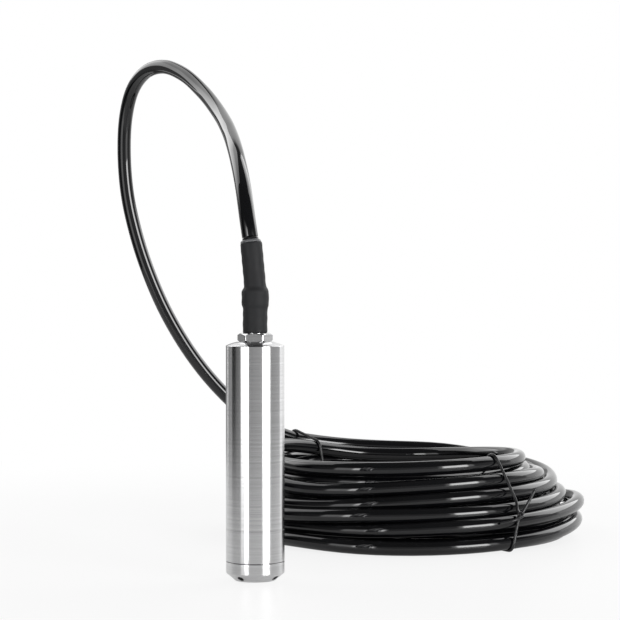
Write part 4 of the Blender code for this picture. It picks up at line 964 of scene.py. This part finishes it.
def studioWorld():
    # world light by direction: bands and softboxes round the horizon, a white wall behind, a darker
    # ceiling and ground, and plain white for the camera itself
    world = bpy.data.worlds.new("studio")
    world.use_nodes = True
    bpy.context.scene.world = world
    tree = world.node_tree
    back = tree.nodes["Background"]
    place = addNode(tree, "ShaderNodeTexCoord")
    split = addNode(tree, "ShaderNodeSeparateXYZ")
    tree.links.new(place.outputs["Generated"], split.inputs["Vector"])
    depth, height = split.outputs["Y"], split.outputs["Z"]
    compass = addMath(tree, "ARCTAN2", split.outputs["X"], addMath(tree, "MULTIPLY", depth, -1.0))
    turn = addNode(tree, "ShaderNodeMapRange", inputs={"From Min": -math.pi, "From Max": math.pi})
    tree.links.new(compass, turn.inputs["Value"])
    rings = []
    for name in ("bands", "boxes"):
        brightest = max(value for angle, value in studio[name])
        stops = [((angle + 180.0) / 360.0, value / brightest) for angle, value in studio[name]]
        ramp = addRamp(tree, turn.outputs["Result"], stops)
        rings.append(addMath(tree, "MULTIPLY", ramp.outputs["Color"], brightest))
    bands, boxes = rings
    window = addMath(tree, "SUBTRACT", addStep(tree, height, studio["boxLow"] - 0.02, studio["boxLow"]),
                     addStep(tree, height, studio["boxHigh"], studio["boxHigh"] + 0.02))
    bands = addMath(tree, "ADD", bands, addMath(tree, "MULTIPLY", boxes, window))
    around = addBlend(tree, addStep(tree, height, studio["high"] - 0.1, studio["high"] + 0.15),
                      bands, studio["ceiling"])
    around = addBlend(tree, addStep(tree, height, studio["low"] - 0.1, studio["low"] + 0.1),
                      studio["ground"], around)
    wall = addMath(tree, "SUBTRACT", addStep(tree, height, studio["wallLow"], studio["wallLow"] + 0.1),
                   addStep(tree, height, studio["wallHigh"], studio["wallHigh"] + 0.12))
    wall = addMath(tree, "MULTIPLY", wall, addStep(tree, depth, 0.05, 0.3))
    around = addBlend(tree, wall, around, studio["wall"])
    light = addNode(tree, "ShaderNodeLightPath")
    seen = addBlend(tree, light.outputs["Is Camera Ray"], around, 1.0)
    tree.links.new(seen, back.inputs["Color"])
    back.inputs["Strength"].default_value = studio["strength"]


studioWorld()


softbox = {"size": 1.3, "target": (0.05, 0.12, 0.05)}


def areaLamp(name, place, power):
    data = bpy.data.lights.new(name, "AREA")
    data.shape = "RECTANGLE"
    data.size = softbox["size"]
    data.size_y = softbox["size"]
    data.energy = power
    lamp = bpy.data.objects.new(name, data)
    lamp.location = place
    lamp.rotation_euler = (Vector(softbox["target"]) - Vector(place)).to_track_quat("-Z", "Y").to_euler()
    bpy.context.scene.collection.objects.link(lamp)


areaLamp("rightSoftbox", (1.0, 0.95, 1.0), 13.0)
areaLamp("leftSoftbox", (-0.9, 0.95, 1.1), 9.0)
view = bpy.context.scene.view_settings
view.view_transform = "Standard"
print("studio made")


# Carried-over CAD nodes take finer materials

nodeFinish = {
    "steel": (millMaterial("innerSteel"), (
        "sensor_lock_ring", "gland_washer")),
    "header": (millMaterial("sensorHeader", (0.60, 0.60, 0.60), 0.3), ("sensor_header",)),
    "pins": (millMaterial("platedPins", (0.80, 0.62, 0.28), 0.25), (
        "sensor_pin_1", "sensor_pin_2", "sensor_pin_3", "sensor_pin_4")),
    "can": (millMaterial("capacitorCan", (0.72, 0.72, 0.74), 0.28), ("filter_capacitor",)),
    "foil": (millMaterial("diaphragmFoil", (0.70, 0.70, 0.69), 0.12), ("sensor_diaphragm",)),
    "brass": (millMaterial("platedBrass", (0.72, 0.60, 0.36), 0.28), (
        "gland_clamp_screw", "crimp_ferrule", "tail_ferrule_red", "tail_ferrule_black")),
    "seal": (mouldedMaterial("sealRubber", (0.018, 0.018, 0.018), 0.7, 900.0, 0.3), (
        "sensor_oring", "housing_oring", "gland_oring", "gland_seal")),
    "board": (mouldedMaterial("circuitBoard", (0.02, 0.17, 0.07), 0.42, 1500.0, 0.2, 0.3), (
        "circuit_board",)),
    "component": (mouldedMaterial("componentCase", (0.03, 0.03, 0.03), 0.5, 3000.0, 0.3), (
        "amplifier_chip", "transmitter_chip", "pass_transistor", "surge_suppressor")),
    "block": (mouldedMaterial("terminalBlock", (0.035, 0.09, 0.05), 0.45, 1200.0, 0.2), (
        "terminal_block",)),
    "holder": (mouldedMaterial("holderPlastic", (0.75, 0.75, 0.72), 0.5, 700.0, 0.12), (
        "lower_board_holder", "upper_board_holder")),
    "red": (mouldedMaterial("redInsulation", (0.50, 0.02, 0.02), 0.36, 1200.0, 0.1), (
        "supply_wire", "sensor_lead_1", "sensor_lead_3", "tail_core_red")),
    "black": (mouldedMaterial("blackInsulation", (0.02, 0.02, 0.02), 0.36, 1200.0, 0.1), (
        "signal_wire", "screen_wire", "sensor_lead_2", "sensor_lead_4", "tail_core_black")),
    "vent": (mouldedMaterial("ventTubing", (0.72, 0.76, 0.74), 0.25, 900.0, 0.08, 0.3), (
        "vent_tube", "tail_vent_tube")),
    "jacket": (jacket, ("cable_entry",)),
    "sleeve": (sleeveBlack, ("tail_sleeve",)),
}


def finishNodes():
    for material, names in nodeFinish.values():
        for name in names:
            mesh = nodes[name].data
            mesh.materials.clear()
            mesh.materials.append(material)
    named = {name for material, names in nodeFinish.values() for name in names}
    left = [name for name, node in nodes.items() if name not in named and not node.hide_render]
    print("nodes with a finish:", len(named), "left:", left)


finishNodes()
